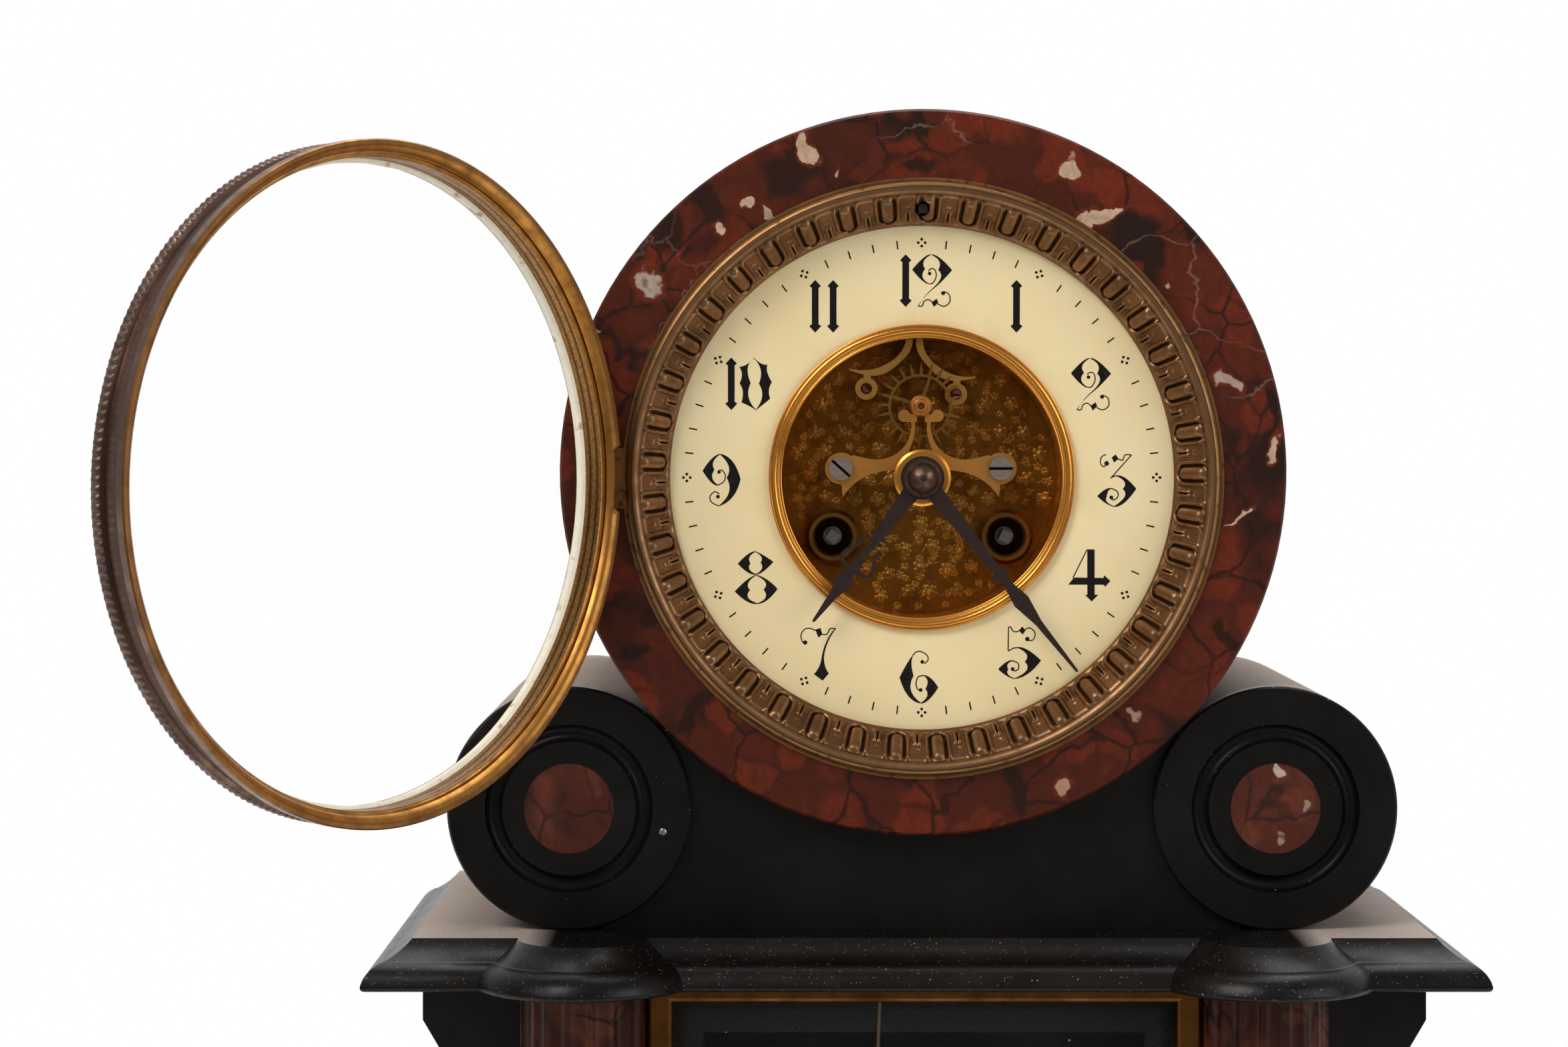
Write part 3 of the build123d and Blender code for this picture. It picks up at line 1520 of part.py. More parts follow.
# Gong: steel wire wound in half turns, its outer end square on the stand
gong_radii = [gong_first_radius + gong_step * k for k in range(gong_half_turns + 1)]
gong_ends = [(0, r if k % 2 == 0 else -r) for k, r in enumerate(gong_radii)]
with BuildPart() as gong:
    with BuildLine(front_view(gong_y)) as gong_path:
        for k in range(gong_half_turns):
            start = gong_ends[k]
            stop = gong_ends[k + 1]
            side = 1 if k % 2 == 0 else -1
            middle = (side * (gong_radii[k] + gong_radii[k + 1]) / 2, (start[1] + stop[1]) / 2)
            ThreePointArc(start, middle, stop)
        Line(gong_ends[-1], (-gong_wire, gong_ends[-1][1]))
    with BuildSketch(gong_path.line ^ 0):
        Circle(gong_wire / 2)
    sweep(path=gong_path.line)
gong.part.label = "gong"
export_step(gong.part, "parts/gong.step")
turn_points = [[gong_path.line.edges()[k] @ (n / 48) for n in range(49)] for k in range(gong_half_turns)]
least_gap = min(
    (p - q).length - gong_wire
    for k in range(gong_half_turns - 2)
    for p in turn_points[k]
    for q in turn_points[k + 2]
)
print("least gap between turns of the gong:", round(least_gap, 2))

# Gong stand: cast iron block in the bottom of the bore
with BuildPart() as gong_stand:
    stand_height = drum_bore - gong_radii[-1] + gong_wire
    with BuildSketch(front_view(gong_y - 5)):
        with Locations((-gong_wire, -drum_bore)):
            Rectangle(12, stand_height, align=(Align.MAX, Align.MIN))
        Circle(drum_bore - 0.02, mode=Mode.INTERSECT)
    extrude(amount=-10)
gong_stand.part.label = "gong_stand"
export_step(gong_stand.part, "parts/gong_stand.step")

# Strike hammer: arbor in the back plate, arm and head beside the inner turn of the gong
with BuildPart() as strike_hammer:
    hammer_z = dial_z - hammer_drop
    head_x = hammer_x + hammer_reach * cos(radians(hammer_angle))
    head_z = hammer_z + hammer_reach * sin(radians(hammer_angle))
    rod(hammer_x, hammer_z, back_plate_y, gong_y + 2, hammer_arbor_radius)
    rod(hammer_x, hammer_z, back_plate_end + 0.1, back_plate_end + 1.6, 2 * hammer_arbor_radius)
    with BuildSketch(front_view(gong_y - 1.5, hammer_x, hammer_z, 90 - hammer_angle)):
        Circle(2.4)
        Rectangle(2.4, hammer_reach, align=(Align.CENTER, Align.MIN))
    extrude(amount=-3)
    rod(head_x, head_z, gong_y - 3.5, gong_y + 3.5, hammer_head_radius)
strike_hammer.part.label = "strike_hammer"
export_step(strike_hammer.part, "parts/strike_hammer.step")

# Back ring: brass, let into the back of the drum, with the fixed knuckle of the door hinge
door_hinge_y = y_back + door_knuckle_radius + door_gap
door_half_knuckle = door_knuckle_length / 2
door_pin_radius = 0.6
door_side_knuckle = 8.0
with BuildPart() as back_ring:
    rod(0, dial_z, ring_y, y_back, back_ring_radius)
    rod(0, dial_z, ring_y, y_back, back_ring_inner, Mode.SUBTRACT)
    for turn in (-strap_turn, strap_turn):
        x = strap_screw_radius * sin(radians(turn))
        z = dial_z + strap_screw_radius * cos(radians(turn))
        rod(x, z, ring_y, y_back, strap_screw_shank + screw_gap, Mode.SUBTRACT)
    block(
        (door_hinge_offset - 0.8, door_hinge_offset + 0.8),
        (y_back - 1, door_hinge_y),
        (dial_z - door_half_knuckle, dial_z + door_half_knuckle),
    )
    with Locations((door_hinge_offset, door_hinge_y, dial_z)):
        Cylinder(door_knuckle_radius, door_knuckle_length)
        Cylinder(door_pin_radius, door_knuckle_length + 2 * (knuckle_gap + door_side_knuckle))
back_ring.part.label = "back_ring"
export_step(back_ring.part, "parts/back_ring.step")

# Back door: thin brass disc with two knuckles and a knob
door_y = y_back + door_gap
knob_x = knob_inset - door_radius
with BuildPart() as back_door:
    rod(0, dial_z, door_y, door_y + door_thickness, door_radius)
    door_knuckle_z = door_half_knuckle + knuckle_gap + door_side_knuckle / 2
    for side in (-1, 1):
        with Locations((door_hinge_offset, door_hinge_y, dial_z + side * door_knuckle_z)):
            Cylinder(door_knuckle_radius, door_side_knuckle)
        with Locations((door_hinge_offset, door_y, dial_z + side * door_knuckle_z)):
            Box(
                door_hinge_offset - 0.94 * door_radius,
                door_thickness,
                door_side_knuckle,
                align=(Align.MAX, Align.MIN, Align.CENTER),
            )
    with Locations((door_hinge_offset, door_hinge_y, dial_z)):
        door_hinge_span = door_knuckle_length + 2 * (knuckle_gap + door_side_knuckle)
        Cylinder(door_pin_radius + running_gap, door_hinge_span + 2, mode=Mode.SUBTRACT)
    knob_root = door_y + door_thickness / 2
    turned(
        [
            (knob_root, 0),
            (knob_root, knob_stem_radius),
            (door_y + knob_stem_length, knob_stem_radius),
            (door_y + knob_stem_length, knob_radius - knob_round / 2),
            (door_y + knob_length - knob_round, knob_radius),
            (door_y + knob_length - knob_round / 4, knob_radius - knob_round / 2),
            (door_y + knob_length, 0),
        ],
        knob_x,
    )
back_door.part.label = "back_door"
export_step(back_door.part, "parts/back_door.step")
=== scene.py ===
import json
import math
import random

import bmesh
import bpy
from mathutils import Matrix, Vector
from mathutils.geometry import tessellate_polygon


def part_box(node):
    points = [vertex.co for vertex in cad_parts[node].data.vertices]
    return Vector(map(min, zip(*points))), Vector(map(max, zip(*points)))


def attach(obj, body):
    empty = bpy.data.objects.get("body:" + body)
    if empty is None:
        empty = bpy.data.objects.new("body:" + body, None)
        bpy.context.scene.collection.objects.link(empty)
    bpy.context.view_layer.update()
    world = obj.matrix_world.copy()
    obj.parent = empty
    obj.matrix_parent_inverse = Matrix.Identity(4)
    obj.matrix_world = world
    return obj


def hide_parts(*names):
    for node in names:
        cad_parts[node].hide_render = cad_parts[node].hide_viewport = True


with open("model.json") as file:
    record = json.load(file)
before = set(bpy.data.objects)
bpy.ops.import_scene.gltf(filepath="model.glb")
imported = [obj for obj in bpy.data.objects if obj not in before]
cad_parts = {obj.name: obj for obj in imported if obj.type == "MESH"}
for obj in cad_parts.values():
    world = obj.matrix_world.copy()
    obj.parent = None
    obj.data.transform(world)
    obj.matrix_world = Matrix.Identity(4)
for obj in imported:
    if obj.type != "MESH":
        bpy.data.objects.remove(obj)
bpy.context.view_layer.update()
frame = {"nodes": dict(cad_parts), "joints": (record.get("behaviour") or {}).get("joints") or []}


# Plinth, mouldings and walls of the lower case.
# Black slate, sawn into slabs and rubbed to a satin; dust lies on whatever faces up.
# The slabs are cemented on each other, the cornice last.
def new_material(name):
    """Node material with its tree and its main shader."""
    made = bpy.data.materials.new(name)
    made.use_nodes = True
    tree = made.node_tree
    return made, tree, tree.nodes["Principled BSDF"]


def join(tree, node, inputs):
    """Sets a node's inputs to plain values, or links them to other nodes."""
    for name, value in inputs.items():
        if isinstance(value, bpy.types.NodeSocket):
            tree.links.new(value, node.inputs[name])
        else:
            node.inputs[name].default_value = value


def put(tree, kind, inputs=None, **settings):
    """Node of a kind, with its settings made and its inputs set or linked."""
    node = tree.nodes.new(kind)
    for name, value in settings.items():
        setattr(node, name, value)
    join(tree, node, inputs or {})
    return node


def object_place(tree):
    """Place in the part's own frame, in metres."""
    return put(tree, "ShaderNodeTexCoord").outputs["Object"]


def clouds(tree, place, scale, detail=4.0, roughness=0.55, distortion=0.0):
    """Cloudy value from 0 to 1."""
    inputs = {
        "Vector": place,
        "Scale": scale,
        "Detail": detail,
        "Roughness": roughness,
        "Distortion": distortion,
    }
    return put(tree, "ShaderNodeTexNoise", inputs).outputs[0]


def span(tree, value, low, high, start=0.0, end=1.0):
    """Value carried from low..high to start..end and kept inside."""
    inputs = {"Value": value, "From Min": low, "From Max": high, "To Min": start, "To Max": end}
    return put(tree, "ShaderNodeMapRange", inputs).outputs[0]


def maths(tree, operation, first, second):
    """Sum, difference or comparison of two values."""
    return put(tree, "ShaderNodeMath", {0: first, 1: second}, operation=operation).outputs[0]


def times(tree, first, second):
    """Product of two values."""
    return maths(tree, "MULTIPLY", first, second)


def mixed(tree, share, first, second):
    """Colour between two, by the share of the second."""
    return put(tree, "ShaderNodeMix", {0: share, 6: first, 7: second}, data_type="RGBA").outputs[2]


def cells(tree, place, scale, feature="F1"):
    """Voronoi cells: the distance and the cell's own random colour."""
    node = put(tree, "ShaderNodeTexVoronoi", {"Vector": place, "Scale": scale}, feature=feature)
    return node.outputs["Distance"], node.outputs.get("Color")


def rough_bump(tree, shader, height, strength, depth):
    """Small unevenness of a surface; depth in metres."""
    bump = put(tree, "ShaderNodeBump", {"Height": height, "Strength": strength, "Distance": depth})
    tree.links.new(bump.outputs["Normal"], shader.inputs["Normal"])


def part_along(tree, place, axis):
    """How far a place or a direction goes along the X, Y or Z axis."""
    return put(tree, "ShaderNodeSeparateXYZ", {0: place}).outputs[axis]


def facing_up(tree):
    """1 on what faces up, 0 on walls, below 0 on undersides."""
    return part_along(tree, put(tree, "ShaderNodeNewGeometry").outputs["Normal"], "Z")


def sideways(tree, place):
    """Distance to the left or right of the clock's middle, in metres."""
    return maths(tree, "ABSOLUTE", part_along(tree, place, "X"), 0.0)


slate_dark = (0.0032, 0.0024, 0.0020, 1)
slate_bloom = (0.0076, 0.0062, 0.0054, 1)
slate_speck = (0.27, 0.235, 0.19, 1)
slate_dust = (0.41, 0.335, 0.29, 1)
slate_gloss = 0.22


def slate_material(name, dust_from, dust_full, clean_half, dust_behind=-1.0, fine_specks=0.9):
    """Black slate with pale specks; taupe dust on what faces up, beside a clean middle and behind a depth."""
    made, tree, shader = new_material(name)
    place = object_place(tree)
    bloom = span(tree, clouds(tree, place, 24, 6), 0.42, 0.72)
    colour = mixed(tree, bloom, slate_dark, slate_bloom)
    for speck_scale, speck_size, least in ((620, 0.1, 0.72), (1500, 0.15, fine_specks)):
        speck_distance, speck_colour = cells(tree, place, speck_scale)
        speck = span(tree, speck_distance, 0.7 * speck_size, 1.3 * speck_size, 1, 0)
        rare = span(tree, speck_colour, least, least + 0.04)
        colour = mixed(tree, times(tree, speck, rare), colour, slate_speck)
    outside = span(tree, sideways(tree, place), clean_half - 0.003, clean_half + 0.004)
    depth = part_along(tree, place, "Y")
    deep = times(tree, outside, span(tree, depth, dust_behind, dust_behind + 0.0012))
    settled = times(tree, span(tree, facing_up(tree), dust_from, dust_full), deep)
    film = span(tree, clouds(tree, place, 210, 9, 0.72), 0.2, 0.46, 0.7, 1.0)
    pit_distance, pit_colour = cells(tree, place, 430)
    pit = span(tree, pit_distance, 0.1, 0.2, 1, 0)
    bare = times(tree, pit, span(tree, pit_colour, 0.6, 0.64, 0, 0.75))
    dust = times(tree, settled, maths(tree, "SUBTRACT", film, bare))
    colour = mixed(tree, dust, colour, slate_dust)
    sheen = span(tree, clouds(tree, place, 160, 5), 0.3, 0.7, 0.28, 0.4)
    sheen = span(tree, dust, 0.0, 1.0, sheen, 0.9)
    join(tree, shader, {"Base Color": colour, "Roughness": sheen, "Specular IOR Level": slate_gloss})
    rough_bump(tree, shader, clouds(tree, place, 900, 6), 0.1, 0.0002)
    return made


def shade(look, *names):
    """Gives CAD pieces their look."""
    for name in names:
        for place in frame["nodes"][name].material_slots:
            place.material = look


slate = slate_material("slate", 0.8, 0.97, 0.0)
shade(slate, "base_plinth", "base_moulding", "case_front", "side_wall_left", "side_wall_right")
shade(slate, "back_wall")
shade(slate_material("cornice_slate", 0.94, 0.985, 0.094, fine_specks=0.68), "cornice")


# Half columns and their bases.
# The shafts are dark red marble, fluted and polished; the bases are slate.
# They are cemented to the front panel between base moulding and cornice.
def vectors(tree, operation, first, second=(0, 0, 0), out="Vector"):
    """Sum, product, length or distance of two places or directions."""
    return put(tree, "ShaderNodeVectorMath", {0: first, 1: second}, operation=operation).outputs[out]


def spot(tree, place, x, z, half_wide, half_high, turn):
    """Distance from a spot's middle over its own size: below 1 inside, above 1 outside."""
    inputs = {"Vector": place, "Center": (x, 0, z), "Angle": math.radians(turn)}
    turned = put(tree, "ShaderNodeVectorRotate", inputs, rotation_type="Y_AXIS").outputs[0]
    away = vectors(tree, "SUBTRACT", turned, (x, 0, z))
    shares = vectors(tree, "MULTIPLY", away, (1 / half_wide, 0, 1 / half_high))
    return vectors(tree, "LENGTH", shares, out="Value")


def stirred(tree, start, place, scale, detail, reach):
    """Start moved about by the clouds at a place; reach in metres."""
    noise = put(tree, "ShaderNodeTexNoise", {"Vector": place, "Scale": scale, "Detail": detail})
    lean = vectors(tree, "SUBTRACT", noise.outputs["Color"], (0.5, 0.5, 0.5))
    return vectors(tree, "ADD", start, vectors(tree, "MULTIPLY", lean, (reach, reach, reach)))


MM = 0.001
vein_colour = (0.34, 0.26, 0.23, 1)
shell_cream = (0.40, 0.27, 0.19, 1)
fossil_core = (0.10, 0.075, 0.06, 1)
fossil_grain = (0.26, 0.15, 0.09, 1)
marble_gloss = 0.2


def marble_material(name, dark, red, bright, fossils=(), patches=(), vein_share=0.2):
    """Red marble: crisp nodules in a darker ground, dark seams, cream fossils and pale veins."""
    made, tree, shader = new_material(name)
    place = object_place(tree)
    bent = stirred(tree, place, place, 70, 4, 11 * MM)
    ground = mixed(tree, span(tree, clouds(tree, bent, 26, 5, 0.5), 0.54, 0.6), red, dark)
    for size, least in ((46, 0.5), (105, 0.56)):
        edge, _ = cells(tree, bent, size, "DISTANCE_TO_EDGE")
        _, tone = cells(tree, bent, size)
        lump = times(tree, span(tree, edge, 0.02, 0.11), span(tree, tone, least, least + 0.03))
        tint = mixed(tree, span(tree, tone, least, 0.75), red, bright)
        ground = mixed(tree, times(tree, lump, 0.8), ground, tint)
    edge, _ = cells(tree, bent, 52, "DISTANCE_TO_EDGE")
    seam_patch = span(tree, clouds(tree, place, 38, 3), 0.38, 0.5)
    seam = times(tree, span(tree, edge, 0.008, 0.035, 0.85, 0), seam_patch)
    ground = mixed(tree, seam, ground, dark)
    ragged = stirred(tree, bent, place, 190, 5, 7 * MM)
    for patch in patches:
        inside = span(tree, spot(tree, ragged, *patch), 0.7, 1.15, 0.92, 0)
        ground = mixed(tree, inside, ground, dark)
    grain = clouds(tree, bent, 420, 8, 0.7)
    colour = mixed(tree, span(tree, grain, 0.42, 0.66, 0, 0.5), ground, dark)
    edge, _ = cells(tree, ragged, 34, "DISTANCE_TO_EDGE")
    vein_patch = span(tree, clouds(tree, place, 16, 3), 0.58, 0.64)
    vein = times(tree, span(tree, edge, 0.003, 0.012, 1, 0), vein_patch)
    colour = mixed(tree, times(tree, vein, vein_share), colour, vein_colour)
    shell_distance, shell_colour = cells(tree, ragged, 120)
    rare = span(tree, shell_colour, 0.79, 0.8)
    shell = times(tree, span(tree, shell_distance, 0.1, 0.16, 1, 0), rare)
    colour = mixed(tree, times(tree, shell, 0.6), colour, shell_cream)
    for x, z, half_wide, half_high, turn, pale in fossils:
        away = spot(tree, ragged, x, z, half_wide, half_high, turn)
        colour = mixed(tree, span(tree, away, 1.15, 1.45, 0.6, 0), colour, bright)
        speckled = mixed(tree, span(tree, grain, 0.38, 0.6, 0, 0.6), pale, fossil_grain)
        if min(half_wide, half_high) > 3 * MM:
            speckled = mixed(tree, span(tree, away, 0.25, 0.6, 0.75, 0), speckled, fossil_core)
        colour = mixed(tree, span(tree, away, 0.86, 1.0, 0.95, 0), colour, speckled)
    polish = span(tree, grain, 0.3, 0.7, 0.22, 0.36)
    join(tree, shader, {"Base Color": colour, "Roughness": polish, "Specular IOR Level": marble_gloss})
    rough_bump(tree, shader, grain, 0.05, 0.0003)
    return made


column_marble = marble_material(
    "column_marble", (0.011, 0.0042, 0.0027, 1), (0.034, 0.0078, 0.0038, 1), (0.09, 0.025, 0.012, 1)
)
shade(column_marble, "column_left", "column_right")
shade(slate, "column_bases")


# Window in the front of the lower case.
# Rounded brass strips, mitred at the corners, hold a plate of bevelled glass in a rebate.
# The brass has toned to an orange brown, and its colour is darkened further as painted shade, as if in the
# shadow of the cornice.
def brass_material(name, bright, dull, roughness, wear=0.55, polish_scale=120):
    """Brass with darker tone in patches and fine scratches."""
    made, tree, shader = new_material(name)
    place = object_place(tree)
    tone = clouds(tree, place, polish_scale, 8, 0.62)
    patch = clouds(tree, place, 0.25 * polish_scale, 4)
    both = maths(tree, "ADD", times(tree, tone, 0.6), times(tree, patch, 0.4))
    colour = mixed(tree, span(tree, both, wear - 0.14, wear + 0.14), bright, dull)
    gloss = span(tree, both, 0.35, 0.7, roughness - 0.08, roughness + 0.16)
    join(tree, shader, {"Base Color": colour, "Roughness": gloss, "Metallic": 1.0})
    rough_bump(tree, shader, clouds(tree, place, 2400, 5), 0.1, 0.0001)
    return made


white = (1, 1, 1, 1)


def pane_material(name, tint, veil, bevel_painted_highlight, index, flecks):
    """Clear pane: lets light through, mirrors a little, and carries a thin veil and white dust; a pale film
    on its bevel faces is a painted highlight.
    """
    made, tree, shader = new_material(name)
    place = object_place(tree)
    clear = put(tree, "ShaderNodeBsdfTransparent", {"Color": tint}).outputs[0]
    mirror = put(tree, "ShaderNodeBsdfGlossy", {"Color": white, "Roughness": 0.03}).outputs[0]
    film = put(tree, "ShaderNodeBsdfDiffuse", {"Color": (0.5, 0.47, 0.44, 1)}).outputs[0]
    shape = put(tree, "ShaderNodeNewGeometry").outputs
    outside = maths(tree, "SUBTRACT", 1.0, shape["Backfacing"])
    edge = times(tree, put(tree, "ShaderNodeFresnel", {"IOR": index}).outputs[0], outside)
    smear = span(tree, clouds(tree, place, 30, 6, 0.6), 0.35, 0.75, 0, veil)
    fleck_distance, fleck_colour = cells(tree, place, 260)
    fleck = span(tree, fleck_distance, 0.05, 0.09, flecks, 0)
    dusty = times(tree, fleck, span(tree, fleck_colour, 0.74, 0.76))
    slope = part_along(tree, shape["Normal"], "Y")
    # Faces turned away from front and back, the bevel, get a share of pale film: a painted highlight.
    bevel = span(tree, maths(tree, "ABSOLUTE", slope, 0.0), 0.93, 0.98, bevel_painted_highlight, 0)
    share = maths(tree, "MAXIMUM", maths(tree, "MAXIMUM", smear, dusty), bevel)
    dirty = put(tree, "ShaderNodeMixShader", {0: share, 1: clear, 2: film}).outputs[0]
    pane = put(tree, "ShaderNodeMixShader", {0: edge, 1: dirty, 2: mirror}).outputs[0]
    tree.nodes.remove(shader)
    tree.links.new(pane, tree.nodes["Material Output"].inputs["Surface"])
    return made


# The frame's colours are darker than its tone alone: painted shade from the cornice above.
frame_brass_painted_shade = brass_material("frame_brass_painted_shade", (0.17, 0.070, 0.018, 1), (0.055, 0.022, 0.007, 1), 0.36)
shade(frame_brass_painted_shade, "window_frame")
shade(pane_material("window_pane", (0.80, 0.82, 0.84, 1), 0.008, 0.05, 1.26, 0.5), "window_glass")


# Scrolls and the block between them.
# Turned slate rollers with a hollow ring in the face, on a slate block hollowed for the drum.
# Red marble discs are let into their middles; the left face has a small metal peg.
def add_mesh(name, points, faces, body, look, sharp=None):
    """New mesh piece that rides on a CAD body; sharp is the least angle of a sharp edge."""
    mesh = bpy.data.meshes.new(name)
    mesh.from_pydata(points, [], faces)
    mesh.update()
    if sharp is not None:
        mesh.shade_smooth()
        mesh.set_sharp_from_angle(angle=math.radians(sharp))
    mesh.materials.append(look)
    piece = bpy.data.objects.new(name, mesh)
    bpy.context.scene.collection.objects.link(piece)
    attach(piece, body)
    return piece


def lathe_mesh(profile, base_y, centre, steps):
    """Points and faces of a turned form; its closed profile is (depth behind base_y, radius) in mm."""
    points = []
    faces = []
    count = len(profile)
    for step in range(steps):
        angle = 2 * math.pi * step / steps
        for depth, radius in profile:
            x = centre.x + radius * MM * math.cos(angle)
            z = centre.z + radius * MM * math.sin(angle)
            points.append((x, base_y + depth * MM, z))
    for step in range(steps):
        here = step * count
        there = (step + 1) % steps * count
        for k in range(count):
            after = (k + 1) % count
            faces.append((here + k, there + k, there + after, here + after))
    return points, faces


scroll_low, scroll_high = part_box("scroll_right")
scroll_slate = slate_material("scroll_slate", 0.4, 0.75, 0.0, scroll_low.y + 3.4 * MM)
shade(scroll_slate, "scroll_block", "scroll_left", "scroll_right")
inlay_x = (scroll_low.x + scroll_high.x) / 2
inlay_z = (scroll_low.z + scroll_high.z) / 2
inlay_fossil = (inlay_x + 1.4 * MM, inlay_z + 7.2 * MM, 1.5 * MM, 2.0 * MM, -20, (0.52, 0.42, 0.36, 1))
inlay_marble = marble_material(
    "inlay_marble",
    (0.026, 0.010, 0.008, 1),
    (0.074, 0.0175, 0.0095, 1),
    (0.120, 0.031, 0.016, 1),
    [inlay_fossil],
    vein_share=0.0,
)
shade(inlay_marble, "scroll_inlays")
steel = brass_material("steel", (0.42, 0.41, 0.40, 1), (0.20, 0.19, 0.185, 1), 0.28)
scroll_low, scroll_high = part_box("scroll_left")
peg_inset = 7.0
peg_height = 24.5
peg_at = Vector((scroll_high.x - peg_inset * MM, scroll_low.y, scroll_low.z + peg_height * MM))
peg_profile = [(0.4, 1.0), (0.0, 1.0), (-0.22, 0.8), (-0.32, 0.4), (-0.34, 0.05), (0.4, 0.05)]
peg_points, peg_faces = lathe_mesh(peg_profile, peg_at.y, peg_at, 20)
add_mesh("scroll_peg", peg_points, peg_faces, "clock", steel, sharp=40)


# Drum and its face.
# The drum is a slate cylinder bored for the movement, lying in the block.
# Its face is a ring of red marble with a fine edge chamfer, cemented on and polished.
shade(scroll_slate, "drum_body")
drum_low, drum_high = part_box("drum_face")
drum_centre = (drum_low + drum_high) / 2
cream = (0.50, 0.36, 0.25, 1)
grey = (0.36, 0.29, 0.25, 1)
rose = (0.40, 0.21, 0.15, 1)
fossils_on_face = [
    (-67.7, 47.8, 3.5, 3.8, 15, grey),
    (-29.1, 80.9, 2.0, 3.6, 8, cream),
    (-39.0, 64.2, 0.9, 2.6, 25, grey),
    (-44.4, 67.0, 1.3, 1.3, 0, cream),
    (-51.0, 59.2, 1.1, 2.0, -15, cream),
    (36.5, 74.8, 3.2, 2.3, -20, cream),
    (43.2, 62.7, 6.0, 1.7, 28, cream),
    (75.7, 20.8, 3.4, 1.7, -30, grey),
    (87.6, 5.5, 1.5, 3.3, 12, cream),
    (34.0, -77.5, 2.3, 2.8, 0, rose),
    (61.2, 46.6, 1.2, 0.9, 0, grey),
    (78.8, -10.1, 3.6, 0.6, 45, cream),
    (-22.0, 76.2, 0.7, 1.1, 0, grey),
    (-46.0, 82.0, 2.2, 0.8, -32, cream),
]
dark_on_face = [
    (-32.5, 75.5, 8.5, 6.0, 40),
    (-53.5, 66.5, 4.0, 8.5, 35),
    (-64.0, 60.5, 5.0, 6.5, 30),
    (-1.5, 75.5, 4.5, 2.6, 0),
    (22.9, -79.5, 2.6, 7.5, 5),
    (-58.6, -59.5, 2.0, 7.5, -40),
    (-71.0, -44.0, 4.0, 2.5, 30),
    (75.0, -41.0, 2.0, 5.5, 35),
]


def on_face(x, z, half_wide, half_high, turn, *colour):
    """A spot given in millimetres from the drum's middle, in metres in the part's frame."""
    return (drum_centre.x + x * MM, drum_centre.z + z * MM, half_wide * MM, half_high * MM, turn, *colour)


face_marble = marble_material(
    "face_marble",
    (0.019, 0.0074, 0.0047, 1),
    (0.064, 0.0118, 0.0050, 1),
    (0.135, 0.0185, 0.0062, 1),
    [on_face(*fossil) for fossil in fossils_on_face],
    [on_face(*patch) for patch in dark_on_face],
)
shade(face_marble, "drum_face")


# Movement: plates, pillars, barrels, wheels and arbors.
# Plates, wheels and barrels are brass, arbors and pinions steel.
# Four pillars space the plates; two straps screwed through the back ring draw it into the drum.
movement_brass = brass_material("movement_brass", (0.55, 0.34, 0.12, 1), (0.30, 0.17, 0.06, 1), 0.3)
shade(movement_brass, "back_plate", "plate_pillars", "movement_straps", "minute_wheel")
# The front plate's brass is darkened almost to black: painted shade of the deep inside of the drum, seen
# through the winding holes.
plate_painted_shade = brass_material("front_plate_painted_shade", (0.05, 0.026, 0.01, 1), (0.02, 0.011, 0.005, 1), 0.45)
shade(plate_painted_shade, "front_plate")
shade(movement_brass, "hour_wheel", "centre_wheel", "third_wheel", "going_barrel", "strike_barrel")
shade(steel, "cannon_pinion")
arbor_steel = brass_material("arbor_steel", (0.30, 0.285, 0.275, 1), (0.12, 0.105, 0.10, 1), 0.3)
shade(arbor_steel, "winding_arbor_going", "winding_arbor_strike")
dark_steel = brass_material("dark_steel", (0.075, 0.056, 0.048, 1), (0.035, 0.025, 0.021, 1), 0.42)
shade(dark_steel, "regulator_arbor")


# Suspension, pendulum, gong and hammer behind the movement.
# The pendulum's brass rod and bob hang from a bracket on the back plate and lean in mid swing.
# The gong is a wound steel wire on an iron stand, struck from inside by the hammer.
shade(movement_brass, "suspension_bracket", "pendulum_bob", "rating_nut")
rod_brass = brass_material("rod_brass", (0.50, 0.36, 0.22, 1), (0.33, 0.22, 0.12, 1), 0.36)
shade(rod_brass, "pendulum_rod")
gong_steel = brass_material("gong_steel", (0.06, 0.07, 0.11, 1), (0.03, 0.03, 0.045, 1), 0.3)
shade(gong_steel, "gong")
shade(steel, "strike_hammer")
iron = brass_material("stand_iron", (0.05, 0.05, 0.05, 1), (0.025, 0.024, 0.023, 1), 0.5)
shade(iron, "gong_stand")


# Dial surround: spun brass cone with a plain bead and a thin flange on the marble.
# Its hollow is struck with egg-and-dart; the ground between the eggs is stippled and dotted.
# The fixed knuckle of the bezel hinge is brazed to it on the left.
enamel_low, enamel_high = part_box("chapter_ring")
dial_centre = (enamel_low + enamel_high) / 2
dial_y = enamel_low.y


def from_middle(tree, place):
    """Distance from the dial's axis, in metres."""
    flat = vectors(tree, "MULTIPLY", place, (1, 0, 1))
    return vectors(tree, "DISTANCE", flat, (dial_centre.x, 0, dial_centre.z), out="Value")


flange_radius = 72.3


